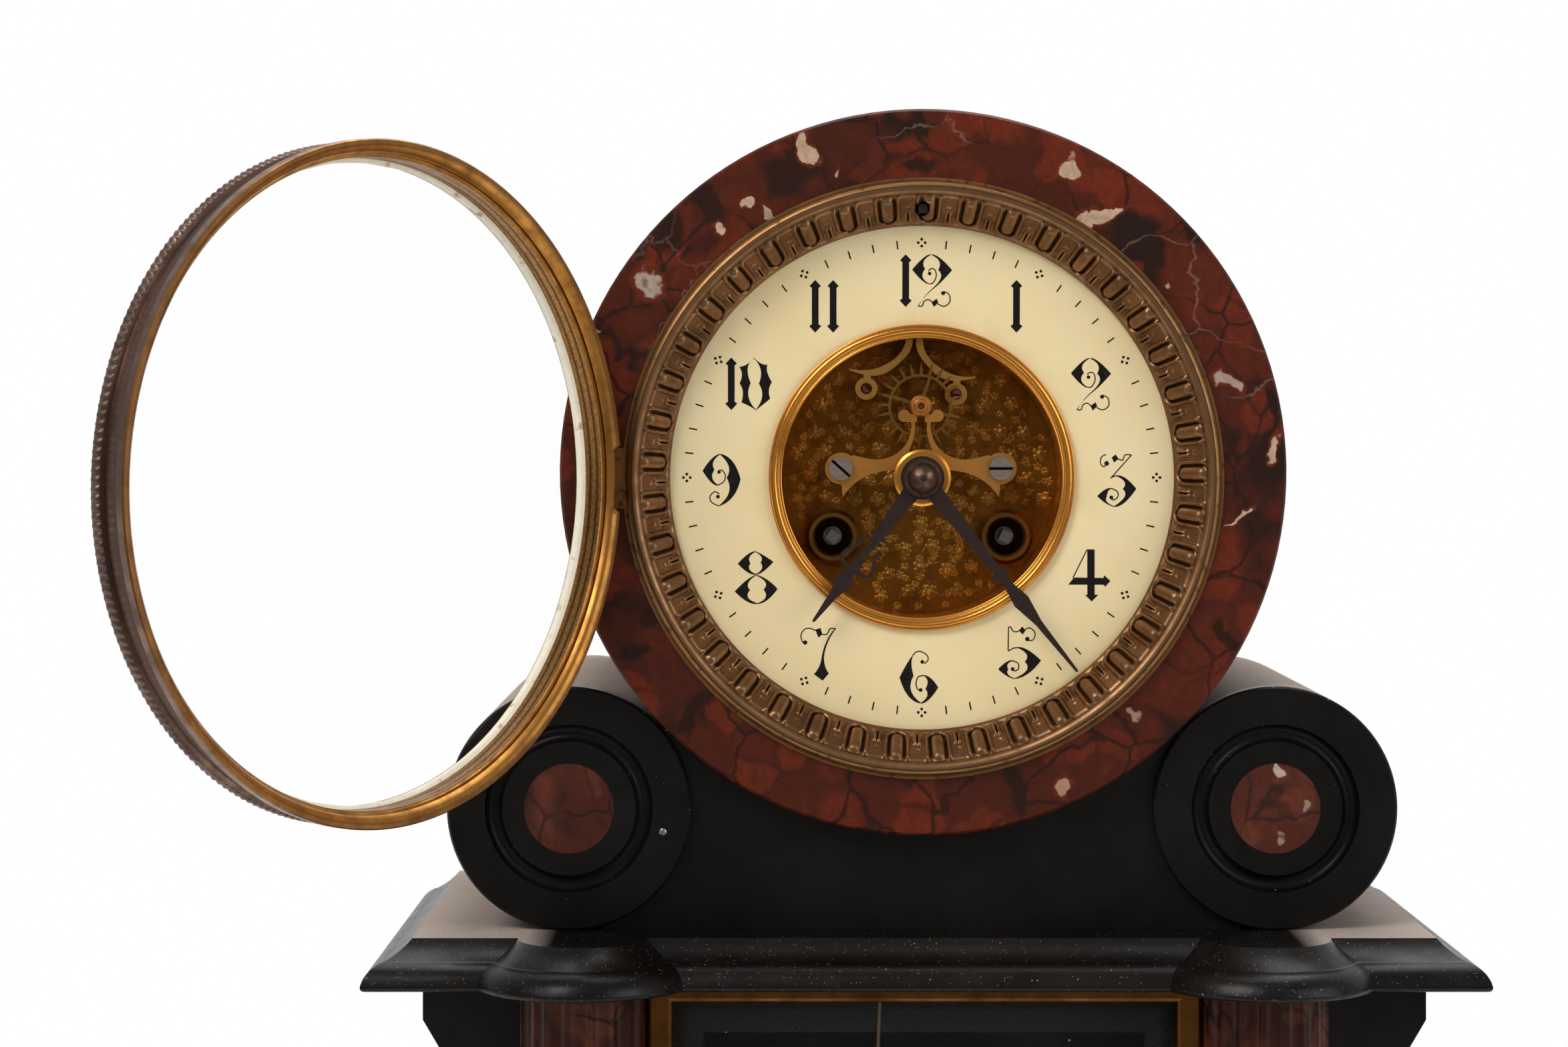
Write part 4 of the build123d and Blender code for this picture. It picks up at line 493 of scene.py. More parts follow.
def surround_material(name):
    """Bronze-toned brass with a brighter orange flange on the marble; painted shade together with dark patina
    in its hollows, and a painted shade line at the flange.
    """
    made, tree, shader = new_material(name)
    place = object_place(tree)
    tone = clouds(tree, place, 160, 8, 0.62)
    colour = mixed(tree, span(tree, tone, 0.36, 0.66), (0.31, 0.168, 0.082, 1), (0.18, 0.092, 0.041, 1))
    radius = from_middle(tree, place)
    flange = span(tree, radius, flange_radius * MM, (flange_radius + 0.3) * MM)
    worn = span(tree, clouds(tree, place, 330, 6), 0.58, 0.66)
    gold = mixed(tree, worn, (0.30, 0.15, 0.055, 1), (0.135, 0.068, 0.03, 1))
    colour = mixed(tree, flange, colour, gold)
    # A dark ring between the bead and the flange: painted shade of a groove that the shape does not have.
    line_start = span(tree, radius, (flange_radius - 0.3) * MM, (flange_radius - 0.1) * MM)
    line_end = span(tree, radius, (flange_radius + 0.1) * MM, (flange_radius + 0.3) * MM, 1, 0)
    line = times(tree, line_start, line_end)
    colour = mixed(tree, times(tree, line, 0.8), colour, (0.04, 0.022, 0.011, 1))
    # Ambient occlusion darkens the hollows of the relief: painted shade, together with the dark patina there.
    hollow = put(tree, "ShaderNodeAmbientOcclusion", {"Distance": 0.0011}, samples=8).outputs["AO"]
    colour = mixed(tree, span(tree, hollow, 0.35, 0.85, 0.85, 0), colour, (0.035, 0.018, 0.009, 1))
    gloss = span(tree, tone, 0.35, 0.7, 0.36, 0.54)
    join(tree, shader, {"Base Color": colour, "Roughness": gloss, "Metallic": 1.0})
    rough_bump(tree, shader, clouds(tree, place, 1600, 5), 0.12, 0.0001)
    return made


surround_brass = surround_material("surround_brass")
shade(surround_brass, "dial_surround")
egg_count = 41
egg_start = -86.8
band_outer = (-10.6, 70.2)
band_inner = (-1.2, 63.5)
egg_half = 1.8
egg_reach = 0.8
egg_shoulder = 1.15
egg_heights = (0.1, 1.4)
border_inner = 2.15
border_outer = 3.3
border_heights = (0.25, 0.85)
dart_half = 1.05
dart_from = 0.5
dart_to = 0.92
dart_flare_from = 0.78
dart_flare_to = 0.86
dart_heights = (0.25, 0.7)
groove_half = 0.22
groove_height = 0.2
groove_to = 0.8
dimple_radius = 0.68
dimple_at = 0.33
ground_height = 0.22
stipple_height = 0.1
rim_from = 0.88
rim_to = 0.93
rim_height = 0.3
regulator_hole_at = 67.0
regulator_hole = 1.8
band_seat = 0.06


def dial_point(x, z, y):
    """Point at x and z in millimetres from the dial's middle, and at a depth y in metres."""
    return dial_centre.x + x * MM, y, dial_centre.z + z * MM


def smooth_step(value, low, high):
    """0 below low, 1 above high, smooth between."""
    share = min(max((value - low) / (high - low), 0.0), 1.0)
    return share * share * (3 - 2 * share)


def egg_relief(across, along, length, pitch):
    """Height of the struck relief, in millimetres, at a place within one egg's pitch."""
    egg_end = egg_reach * length - egg_half
    egg_top = egg_shoulder * egg_half
    past_end = max(along - egg_end, 0.0)
    short_of_top = max(egg_top - along, 0.0) * 0.85
    from_egg = math.hypot(across, past_end, short_of_top)
    from_border = math.hypot(across, past_end)
    rise = smooth_step(along, 0.0, 0.7)
    rim = smooth_step(along, rim_from * length, rim_to * length)
    if from_egg < egg_half:
        return rise * (egg_heights[0] + egg_heights[1] * (1 - (from_egg / egg_half) ** 2) ** 0.6)
    if from_border < border_inner:
        return 0.0
    if from_border < border_outer:
        side = (2 * from_border - border_inner - border_outer) / (border_outer - border_inner)
        return rise * (border_heights[0] + border_heights[1] * math.sqrt(max(1 - side * side, 0.0)))
    from_dart = 0.5 * pitch - abs(across)
    share = along / length
    if dart_from < share < dart_to:
        flare = 1 + 0.6 * smooth_step(share, dart_flare_from, dart_flare_to)
        width = dart_half * flare * min(1.0, (dart_to - share) / 0.05)
        if from_dart < groove_half and share < groove_to:
            return groove_height
        if from_dart < width:
            return dart_heights[0] + dart_heights[1] * math.sqrt(1 - (from_dart / width) ** 2)
    if math.hypot(from_dart, along - dimple_at * length) < dimple_radius:
        return 0.0
    stipple = math.sin(7.1 * across + 3.0 * along) * math.sin(8.3 * along - 2.0 * across)
    return rise * (ground_height + stipple_height * stipple * (1 - rim) + rim_height * rim)


def egg_and_dart():
    """Points and faces of the struck band inside the surround."""
    depth_run = band_inner[0] - band_outer[0]
    radius_run = band_inner[1] - band_outer[1]
    length = math.hypot(depth_run, radius_run)
    rise = (radius_run / length, -depth_run / length)
    pitch = math.pi * (band_outer[1] + band_inner[1]) / egg_count
    per_egg = 44
    rows = 44
    points = []
    faces = []
    columns = egg_count * per_egg
    for column in range(columns):
        angle = math.radians(egg_start + 360 * column / columns)
        across = ((column / per_egg + 0.5) % 1 - 0.5) * pitch
        for row in range(rows + 1):
            along = length * row / rows
            height = band_seat + egg_relief(across, along, length, pitch)
            share = row / rows
            depth = band_outer[0] + depth_run * share + rise[0] * height
            radius = band_outer[1] + radius_run * share + rise[1] * height
            at = (radius * math.cos(angle), radius * math.sin(angle))
            points.append(dial_point(*at, dial_y + depth * MM))
    for column in range(columns):
        here = column * (rows + 1)
        there = (column + 1) % columns * (rows + 1)
        for row in range(rows):
            corner = Vector(points[here + row])
            gap = math.hypot(corner.x - dial_centre.x, corner.z - dial_centre.z - regulator_hole_at * MM)
            if gap > regulator_hole * MM:
                faces.append((here + row, here + row + 1, there + row + 1, there + row))
    return points, faces


band_points, band_faces = egg_and_dart()
add_mesh("egg_and_dart", band_points, band_faces, "clock", surround_brass, sharp=70)


# Chapter ring: ivory vitreous enamel fired on a dished copper ring.
# Figures, minute strokes and the four dots at each hour are black, fired under the surface.
# It is held between the surround's lip and the gilt ring of the centre.
def enamel_material(name):
    """Ivory enamel with faint brown stains and hairlines."""
    made, tree, shader = new_material(name)
    place = object_place(tree)
    warm = span(tree, clouds(tree, place, 22, 5), 0.35, 0.75)
    colour = mixed(tree, warm, (0.78, 0.65, 0.38, 1), (0.72, 0.57, 0.30, 1))
    near = span(tree, from_middle(tree, place), 0.0375, 0.047, 1, 0.12)
    stain = times(tree, span(tree, clouds(tree, place, 60, 7, 0.65), 0.45, 0.75), near)
    colour = mixed(tree, times(tree, stain, 0.5), colour, (0.60, 0.44, 0.18, 1))
    crack, _ = cells(tree, place, 26, "DISTANCE_TO_EDGE")
    crack_patch = span(tree, clouds(tree, place, 11, 2), 0.58, 0.62)
    hairline = times(tree, span(tree, crack, 0.001, 0.004, 1, 0), crack_patch)
    colour = mixed(tree, times(tree, hairline, 0.35), colour, (0.90, 0.86, 0.74, 1))
    dot, dot_colour = cells(tree, place, 330)
    fleck = times(tree, span(tree, dot, 0.05, 0.09, 1, 0), span(tree, dot_colour, 0.93, 0.95))
    colour = mixed(tree, times(tree, fleck, 0.7), colour, (0.22, 0.12, 0.05, 1))
    join(tree, shader, {"Base Color": colour, "Roughness": 0.2, "Coat Weight": 0.4, "Coat Roughness": 0.08})
    rough_bump(tree, shader, clouds(tree, place, 70, 3), 0.05, 0.0006)
    return made


shade(enamel_material("enamel"), "chapter_ring")
paint_made, paint_tree, paint_shader = new_material("dial_paint")
paint_wear = span(paint_tree, clouds(paint_tree, object_place(paint_tree), 1500, 5), 0.55, 0.72)
paint_colour = mixed(paint_tree, paint_wear, (0.0045, 0.0038, 0.0036, 1), (0.022, 0.019, 0.018, 1))
join(paint_tree, paint_shader, {"Base Color": paint_colour, "Roughness": 0.42, "Specular IOR Level": 0.22})

figure_height = 13.2
figure_radius = 49.6
stroke_radius = 58.6
hairline_width = 0.021
enamel_seat_radius = 64.6
enamel_inner_radius = 36.2
enamel_dish = 1.2
paint_rise = 0.04
layer_rise = 0.002
stem_half = [(0, 1), (0.108, 0.885), (0.064, 0.85), (0.064, 0.16), (0.115, 0.125), (0, 0)]
stem = stem_half + [(-x, z) for x, z in reversed(stem_half[1:-1])]

# Each figure has solid shapes between two edges, hairlines, balls and plain polygons.
# An edge runs corner, point on the curve, corner, and so on.
figures = {
    "0": {
        "solids": [
            (
                [(-0.03, 1), (-0.156, 0.876), (-0.31, 0.821), (-0.26, 0.677), (-0.305, 0.504),
                 (-0.243, 0.355), (-0.268, 0.144), (-0.13, 0.082), (0.005, 0)],
                [(-0.03, 0.983), (-0.15, 0.80), (-0.094, 0.516), (-0.135, 0.25), (0.005, 0.012)],
            ),
            (
                [(-0.03, 1), (0.104, 0.888), (0.228, 0.864), (0.221, 0.727), (0.31, 0.533),
                 (0.253, 0.38), (0.278, 0.218), (0.141, 0.107), (0.005, 0)],
                [(-0.03, 0.983), (0.098, 0.76), (0.062, 0.504), (0.125, 0.26), (0.005, 0.012)],
            ),
        ],
    },
    "1": {"plain": [stem]},
    "2": {
        "solids": [
            (
                [(-0.02, 1), (-0.165, 0.93), (-0.378, 0.709), (-0.19, 0.503), (-0.05, 0.431)],
                [(-0.03, 0.985), (-0.16, 0.86), (-0.13, 0.72), (-0.18, 0.57), (-0.05, 0.442)],
            ),
            (
                [(-0.02, 1), (0.15, 0.93), (0.383, 0.70), (0.17, 0.47), (0, 0.324), (-0.16, 0.165),
                 (-0.268, 0.018)],
                [(0, 0.98), (0.14, 0.86), (0.117, 0.70), (0.166, 0.55), (0, 0.345), (-0.15, 0.185),
                 (-0.25, 0.018)],
            ),
        ],
        "lines": [
            [(-0.05, 0.436), (0.025, 0.464), (0.082, 0.592), (0.05, 0.707), (-0.02, 0.724), (-0.07, 0.68)],
            [(-0.265, 0.018), (-0.185, 0.018), (-0.15, 0.107), (-0.064, 0.138), (0.01, 0.087)],
            [(0.11, 0.06), (0.23, 0.012), (0.338, 0.094), (0.325, 0.235), (0.23, 0.292)],
        ],
        "balls": [(-0.045, 0.635, 0.034), (0.212, 0.262, 0.038)],
        "plain": [[(0.09, 0.158), (0.122, 0.082), (0.038, 0), (-0.008, 0.087)]],
    },
    "3": {
        "solids": [
            (
                [(0, 0.602), (0.17, 0.545), (0.366, 0.348), (0.147, 0.086), (-0.053, 0)],
                [(0, 0.582), (0.147, 0.47), (0.107, 0.34), (0.147, 0.2), (-0.053, 0.015)],
            ),
            (
                [(-0.053, 0), (-0.214, 0.072), (-0.374, 0.206), (-0.227, 0.33), (-0.107, 0.36)],
                [(-0.053, 0.015), (-0.19, 0.1), (-0.195, 0.193), (-0.165, 0.3), (-0.107, 0.342)],
            ),
        ],
        "lines": [
            [(-0.206, 1), (-0.294, 0.947), (-0.313, 0.84), (-0.26, 0.767), (-0.2, 0.80)],
            [(0.02, 0.909), (0.107, 0.893), (0.155, 0.99), (0.275, 0.99)],
            [(0.275, 0.99), (-0.12, 0.545)],
            [(-0.12, 0.545), (-0.06, 0.582), (0.01, 0.592)],
            [(-0.107, 0.351), (0, 0.3), (0.019, 0.206), (-0.053, 0.134), (-0.12, 0.166)],
        ],
        "balls": [(-0.195, 0.829, 0.045), (-0.107, 0.18, 0.038)],
        "plain": [[(-0.027, 1), (0.032, 0.92), (-0.053, 0.842), (-0.1, 0.94)]],
    },
    "4": {
        "lines": [[(-0.05, 0.985), (-0.318, 0.447)]],
        "plain": [
            [(-0.045, 0.99), (0.094, 0.99), (0.094, 0.13), (0.166, 0.13), (0.037, 0), (-0.087, 0.124),
             (-0.045, 0.13)],
            [(-0.407, 0.318), (-0.298, 0.454), (0.26, 0.447), (0.278, 0.499), (0.392, 0.39), (0.298, 0.28),
             (0.26, 0.318)],
        ],
    },
    "5": {
        "solids": [
            (
                [(-0.037, 0.607), (0.16, 0.55), (0.405, 0.353), (0.16, 0.104), (-0.1, 0)],
                [(-0.037, 0.59), (0.132, 0.465), (0.095, 0.328), (0.132, 0.17), (-0.1, 0.015)],
            ),
            (
                [(-0.1, 0), (-0.25, 0.06), (-0.41, 0.187), (-0.26, 0.32), (-0.137, 0.358)],
                [(-0.1, 0.015), (-0.224, 0.092), (-0.216, 0.187), (-0.23, 0.28), (-0.137, 0.34)],
            ),
        ],
        "lines": [
            [(-0.211, 0.985), (-0.219, 0.532)],
            [(-0.219, 0.532), (-0.112, 0.586), (-0.02, 0.598)],
            [(-0.211, 0.985), (-0.166, 0.985), (-0.14, 0.925), (-0.075, 0.896), (0, 0.92)],
            [(0.1, 0.94), (0.199, 0.968), (0.291, 0.876), (0.261, 0.751), (0.174, 0.724)],
            [(-0.137, 0.349), (-0.035, 0.3), (-0.02, 0.204), (-0.087, 0.154), (-0.137, 0.18)],
        ],
        "balls": [(0.145, 0.76, 0.042), (-0.135, 0.19, 0.036)],
        "plain": [[(0.05, 1), (0.112, 0.92), (0.057, 0.843), (-0.012, 0.92)]],
    },
    "6": {
        "solids": [
            (
                [(-0.12, 0.913), (-0.235, 0.74), (-0.368, 0.495), (-0.2, 0.14), (0.04, 0)],
                [(-0.106, 0.913), (-0.14, 0.75), (-0.1, 0.529), (-0.15, 0.25), (0.04, 0.015)],
            ),
            (
                [(0.04, 0), (0.19, 0.075), (0.368, 0.304), (0.235, 0.475), (0.093, 0.542)],
                [(0.04, 0.015), (0.159, 0.146), (0.124, 0.278), (0.167, 0.42), (0.093, 0.526)],
            ),
        ],
        "lines": [
            [(-0.115, 0.908), (-0.06, 0.97), (0.026, 0.99), (0.146, 0.926), (0.177, 0.833), (0.11, 0.756)],
            [(0.093, 0.535), (-0.013, 0.503), (-0.053, 0.384), (-0.026, 0.275), (0.034, 0.251)],
        ],
        "balls": [(0.066, 0.79, 0.037), (0.034, 0.257, 0.036)],
    },
    "7": {
        "solids": [
            (
                [(0.31, 0.985), (0.14, 0.716), (0.05, 0.371), (0, 0.24), (-0.085, 0.125), (0, 0.06),
                 (0.082, 0)],
                [(0.334, 0.985), (0.175, 0.716), (0.106, 0.44), (0.13, 0.27), (0.2, 0.138), (0.14, 0.07),
                 (0.082, 0)],
            ),
        ],
        "lines": [
            [(-0.27, 0.70), (-0.31, 0.756), (-0.332, 0.862), (-0.27, 0.968), (-0.164, 0.992), (-0.05, 0.95)],
            [(0.06, 0.88), (0.154, 0.878), (0.207, 0.955), (0.228, 0.985), (0.334, 0.985)],
        ],
        "balls": [(-0.252, 0.724, 0.042)],
        "plain": [[(0.042, 1), (0.074, 0.875), (0, 0.817), (-0.058, 0.968)]],
    },
    "8": {
        "solids": [
            (
                [(-0.013, 1), (-0.16, 0.94), (-0.346, 0.763), (-0.16, 0.6), (0, 0.555)],
                [(-0.013, 0.984), (-0.125, 0.888), (-0.104, 0.766), (-0.125, 0.657), (0, 0.566)],
            ),
            (
                [(-0.013, 1), (0.14, 0.925), (0.331, 0.797), (0.14, 0.615), (0, 0.555)],
                [(-0.013, 0.984), (0.104, 0.888), (0.086, 0.784), (0.112, 0.67), (0, 0.566)],
            ),
            (
                [(0, 0.555), (-0.185, 0.445), (-0.404, 0.237), (-0.17, 0.045), (0.026, 0)],
                [(0, 0.54), (-0.148, 0.393), (-0.112, 0.263), (-0.15, 0.12), (0.026, 0.014)],
            ),
            (
                [(0, 0.555), (0.21, 0.46), (0.411, 0.284), (0.21, 0.068), (0.026, 0)],
                [(0, 0.54), (0.182, 0.406), (0.143, 0.276), (0.182, 0.12), (0.026, 0.014)],
            ),
        ],
    },
    "9": {
        "solids": [
            (
                [(-0.025, 1), (-0.185, 0.905), (-0.357, 0.677), (-0.19, 0.455), (-0.062, 0.397)],
                [(-0.025, 0.985), (-0.153, 0.845), (-0.13, 0.697), (-0.172, 0.54), (-0.062, 0.41)],
            ),
            (
                [(-0.025, 1), (0.21, 0.86), (0.365, 0.52), (0.22, 0.185), (-0.049, 0)],
                [(-0.025, 0.985), (0.14, 0.76), (0.1, 0.549), (0.145, 0.27), (-0.049, 0.014)],
            ),
        ],
        "lines": [
            [(-0.062, 0.403), (0.05, 0.475), (0.074, 0.6), (0.012, 0.685), (-0.05, 0.68)],
            [(-0.049, 0.007), (-0.185, 0.08), (-0.214, 0.192), (-0.123, 0.278), (-0.037, 0.235)],
        ],
        "balls": [(-0.044, 0.653, 0.034), (-0.065, 0.185, 0.036)],
    },
}


def through(first, middle, last, steps=9):
    """Points of the curve from first by way of middle to last, without the last."""
    pull = [2 * m - (a + b) / 2 for a, m, b in zip(first, middle, last)]
    made = []
    for step in range(steps):
        t = step / steps
        made.append(
            tuple(
                (1 - t) ** 2 * a + 2 * t * (1 - t) * p + t * t * b
                for a, p, b in zip(first, pull, last)
            )
        )
    return made


def curved_edge(edge):
    """Points along an edge given as corner, point on the curve, corner, and so on."""
    made = []
    for k in range(0, len(edge) - 2, 2):
        made += through(*edge[k : k + 3])
    return made + [edge[-1]]


def flowing_line(path, steps=8):
    """Smooth line through all points of a path."""
    if len(path) == 2:
        return list(path)
    ends = [path[0]] + list(path) + [path[-1]]
    made = []
    for k in range(len(path) - 1):
        a, b, c, d = ends[k : k + 4]
        for step in range(steps):
            t = step / steps
            point = []
            for p, q, r, s in zip(a, b, c, d):
                square = 2 * p - 5 * q + 4 * r - s
                cube = 3 * q - p - 3 * r + s
                point.append(0.5 * (2 * q + (r - p) * t + square * t**2 + cube * t**3))
            made.append(tuple(point))
    return made + [path[-1]]


def ribbon(line, width):
    """Outline of a line with a width: one side out, the other side back."""
    left = []
    right = []
    for k, (x, z) in enumerate(line):
        before = line[max(k - 1, 0)]
        after = line[min(k + 1, len(line) - 1)]
        length = math.hypot(after[0] - before[0], after[1] - before[1])
        side = ((before[1] - after[1]) / length, (after[0] - before[0]) / length)
        left.append((x + side[0] * width / 2, z + side[1] * width / 2))
        right.append((x - side[0] * width / 2, z - side[1] * width / 2))
    return left + right[::-1]


def disc(x, z, radius, corners=16):
    """Outline of a dot."""
    turns = [2 * math.pi * k / corners for k in range(corners)]
    return [(x + radius * math.cos(turn), z + radius * math.sin(turn)) for turn in turns]


def figure_outlines(name):
    """All outlines of one figure, one unit high and standing on zero."""
    shapes = figures[name]
    made = list(shapes.get("plain", []))
    for outer, inner in shapes.get("solids", []):
        made.append(curved_edge(outer) + curved_edge(inner)[::-1])
    for line in shapes.get("lines", []):
        made.append(ribbon(flowing_line(line), hairline_width))
    for ball in shapes.get("balls", []):
        made.append(disc(*ball))
    return made


paint_points = []
paint_faces = []


def paint(outline, rise):
    """Adds an outline, in millimetres from the dial's middle, on the dished enamel."""
    start = len(paint_points)
    for x, z in outline:
        radius = math.hypot(x, z)
        drop = enamel_dish * (enamel_seat_radius - radius) / (enamel_seat_radius - enamel_inner_radius)
        depth = dial_y + (drop - rise) * MM
        paint_points.append(dial_point(x, z, depth))
    flat = [Vector((x, z, 0)) for x, z in outline]
    for corners in tessellate_polygon([flat]):
        paint_faces.append(tuple(start + k for k in corners))


def set_figure(name, x, z):
    """Paints one figure with its middle at a place."""
    for k, outline in enumerate(figure_outlines(name)):
        paint(
            [(x + u * figure_height, z + (v - 0.5) * figure_height) for u, v in outline],
            paint_rise + layer_rise * k,
        )


double_figures = {
    10: (("1", -3.0), ("0", 3.1)),
    11: (("1", -2.25), ("1", 2.25)),
    12: (("1", -4.2), ("2", 2.4)),
}
hand_set = [
    (-1.0, 0.0), (-0.5, -1.4), (-0.6, -0.8), (-0.8, 0.3), (-0.2, -1.0), (-0.7, -0.5),
    (-1.1, -1.4), (1.4, -0.3), (-0.65, -0.65), (-1.8, -1.3), (0.35, 0.0), (0.2, -0.2),
]
dot_radius = 58.9
dot_spread = 0.85
dot_size = 0.36
stroke_half = 1.05
stroke_width = 0.36
for hour in range(1, 13):
    turn = math.radians(90 - 30 * hour)
    stray_x, stray_z = hand_set[hour - 1]
    middle_x = figure_radius * math.cos(turn) + stray_x
    middle_z = figure_radius * math.sin(turn) + stray_z
    for name, shift in double_figures.get(hour, ((str(hour), 0.0),)):
        set_figure(name, middle_x + shift, middle_z)
    for dot in range(4):
        around = turn + math.radians(90 * dot)
        dot_x = dot_radius * math.cos(turn) + dot_spread * math.cos(around)
        dot_z = dot_radius * math.sin(turn) + dot_spread * math.sin(around)
        paint(disc(dot_x, dot_z, dot_size, 12), paint_rise)
for minute in range(60):
    if minute % 5:
        turn = math.radians(90 - 6 * minute)
        reach = (stroke_radius - stroke_half, stroke_radius + stroke_half)
        ends = [(radius * math.cos(turn), radius * math.sin(turn)) for radius in reach]
        paint(ribbon(ends, stroke_width), paint_rise)
add_mesh("dial_figures", paint_points, paint_faces, "clock", paint_made)


# Gilt ring round the open centre.
# Turned brass, gilt, with fine reeds on its front, and a tube back to the movement.
# It clips the enamel against the movement.
gilt = brass_material("gilt", (0.92, 0.41, 0.075, 1), (0.58, 0.235, 0.045, 1), 0.26, 0.58, 90)
shade(gilt, "centre_ring")
reed_bands = [(38.35, 37.85, 0.15), (37.8, 36.3, 0.55), (36.2, 35.75, 0.2), (35.7, 35.05, 0.24)]
reed_front = -0.35
reed_back = 0.8
reed_steps = 12
reed_profile = []
for outer, inner, height in reed_bands:
    for step in range(reed_steps + 1):
        share = step / reed_steps
        lift = height * math.sqrt(max(1 - (2 * share - 1) ** 2, 0.0))
        reed_profile.append((reed_front - lift, outer + (inner - outer) * share))
reed_profile += [(reed_back, reed_bands[-1][1]), (reed_back, reed_bands[0][0])]
reed_points, reed_faces = lathe_mesh(reed_profile, dial_y, dial_centre, 180)
add_mesh("centre_ring_reeds", reed_points, reed_faces, "clock", gilt, sharp=50)


# Centre plate: thin brass disc stamped all over with flower sprigs, toned dark.
# The sprigs stand up a little: five-petalled flowers, leaf sprays and thin stems.
# Two turned brass collars ring the winding holes.
stamped = brass_material("stamped_brass", (0.23, 0.094, 0.013, 1), (0.11, 0.043, 0.006, 1), 0.46, 0.5, 260)
sprig_brass = brass_material("sprig_brass", (0.33, 0.155, 0.03, 1), (0.165, 0.073, 0.013, 1), 0.44, 0.52, 260)
shade(stamped, "dial_plate")
collar_brass = brass_material("collar_brass", (0.27, 0.135, 0.035, 1), (0.12, 0.058, 0.017, 1), 0.34)
shade(collar_brass, "winding_collars")
plate_low, plate_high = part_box("dial_plate")
plate_y = plate_low.y
plate_radius = (plate_high.x - plate_low.x) / 2 / MM
centre_hole = 4.2
plate_holes = [(-22.05, -15.35, 7.1), (22.05, -15.35, 7.1)]
plate_holes += [(-20.15, 2.2, 2.8), (20.15, 2.2, 2.8), (0, 18, 1.4)]
sunk_edge = -0.02
stem_width = 0.3
stem_height = 0.1
stem_from = 1.9
stem_to = 3.5
stem_sweep = 0.4
stem_bend = 0.25
branch_turn = 2.1
tip_leaf = (1.5, 0.9)
tip_leaf_at = 1.1
side_leaf = (1.25, 0.72)
side_leaf_turn = math.radians(52)
sprig_points = []
sprig_faces = []
sprig_chance = random.Random(11)


def sprig_vertex(x, z, height):
    """Adds a point of the relief, in millimetres from the plate's middle, and gives its number."""
    sprig_points.append(dial_point(x, z, plate_y - height * MM))
    return len(sprig_points) - 1


def stamp_flower(x, z, radius, turn):
    """Five rounded petals round a raised eye."""
    around = 40
    rings = []
    for share, height in ((0.0, 0.2), (0.2, 0.22), (0.26, 0.08), (0.72, 0.17), (0.9, 0.15), (1.0, sunk_edge)):
        ring = []
        for k in range(around):
            angle = 2 * math.pi * k / around
            petal = abs(math.cos(2.5 * angle)) ** 0.45
            reach = radius * share * (1 if share < 0.3 else 0.55 + 0.45 * petal)
            lift = height * (1 if share < 0.3 else 0.3 + 0.7 * petal)
            at = (x + reach * math.cos(angle + turn), z + reach * math.sin(angle + turn))
            ring.append(sprig_vertex(*at, lift))
        rings.append(ring)
    for inner, outer in zip(rings, rings[1:]):
        for k in range(around):
            after = (k + 1) % around
            sprig_faces.append((inner[k], inner[after], outer[after], outer[k]))


def stamp_leaf(x, z, length, width, turn):
    """Pointed leaf with a raised rib."""
    along = (math.cos(turn), math.sin(turn))
    rib = []
    left = []
    right = []
    for share, spread in ((0.0, 0.05), (0.3, 0.8), (0.55, 1.0), (0.8, 0.6), (1.0, 0.02)):
        mid_x = x + along[0] * length * share
        mid_z = z + along[1] * length * share
        half = width * spread / 2
        rib.append(sprig_vertex(mid_x, mid_z, 0.13 * spread + 0.03))
        left.append(sprig_vertex(mid_x - along[1] * half, mid_z + along[0] * half, sunk_edge))
        right.append(sprig_vertex(mid_x + along[1] * half, mid_z - along[0] * half, sunk_edge))
    for k in range(4):
        sprig_faces.append((left[k], left[k + 1], rib[k + 1], rib[k]))
        sprig_faces.append((rib[k], rib[k + 1], right[k + 1], right[k]))


def stamp_spray(x, z, turn):
    """Stem tip with a leaf at its end and two pairs at its sides."""
    stamp_leaf(x + tip_leaf_at * math.cos(turn), z + tip_leaf_at * math.sin(turn), *tip_leaf, turn)
    for along in (0.3, 1.0):
        at = (x + along * math.cos(turn), z + along * math.sin(turn))
        for side in (-1, 1):
            stamp_leaf(*at, *side_leaf, turn + side * side_leaf_turn)


def stamp_stem(start, end, bend):
    """Thin raised stem in a curve from one place to another."""
    middle = [(a + b) / 2 for a, b in zip(start, end)]
    across = (end[1] - start[1], start[0] - end[0])
    line = through(start, (middle[0] + bend * across[0], middle[1] + bend * across[1]), end, 10) + [end]
    outline = ribbon(line, stem_width)
    half = len(line)
    top = [sprig_vertex(x, z, stem_height) for x, z in line]
    left = [sprig_vertex(x, z, sunk_edge) for x, z in outline[:half]]
    right = [sprig_vertex(x, z, sunk_edge) for x, z in outline[half:][::-1]]
    for k in range(half - 1):
        sprig_faces.append((left[k], left[k + 1], top[k + 1], top[k]))
        sprig_faces.append((top[k], top[k + 1], right[k + 1], right[k]))


def on_plate(x, z, margin):
    """True where the plate is whole: off its edge, the centre, the feet and the winding holes."""
    if not centre_hole + margin <= math.hypot(x, z) <= plate_radius - margin:
        return False
    return all(math.hypot(x - hx, z - hz) > radius + margin for hx, hz, radius in plate_holes)


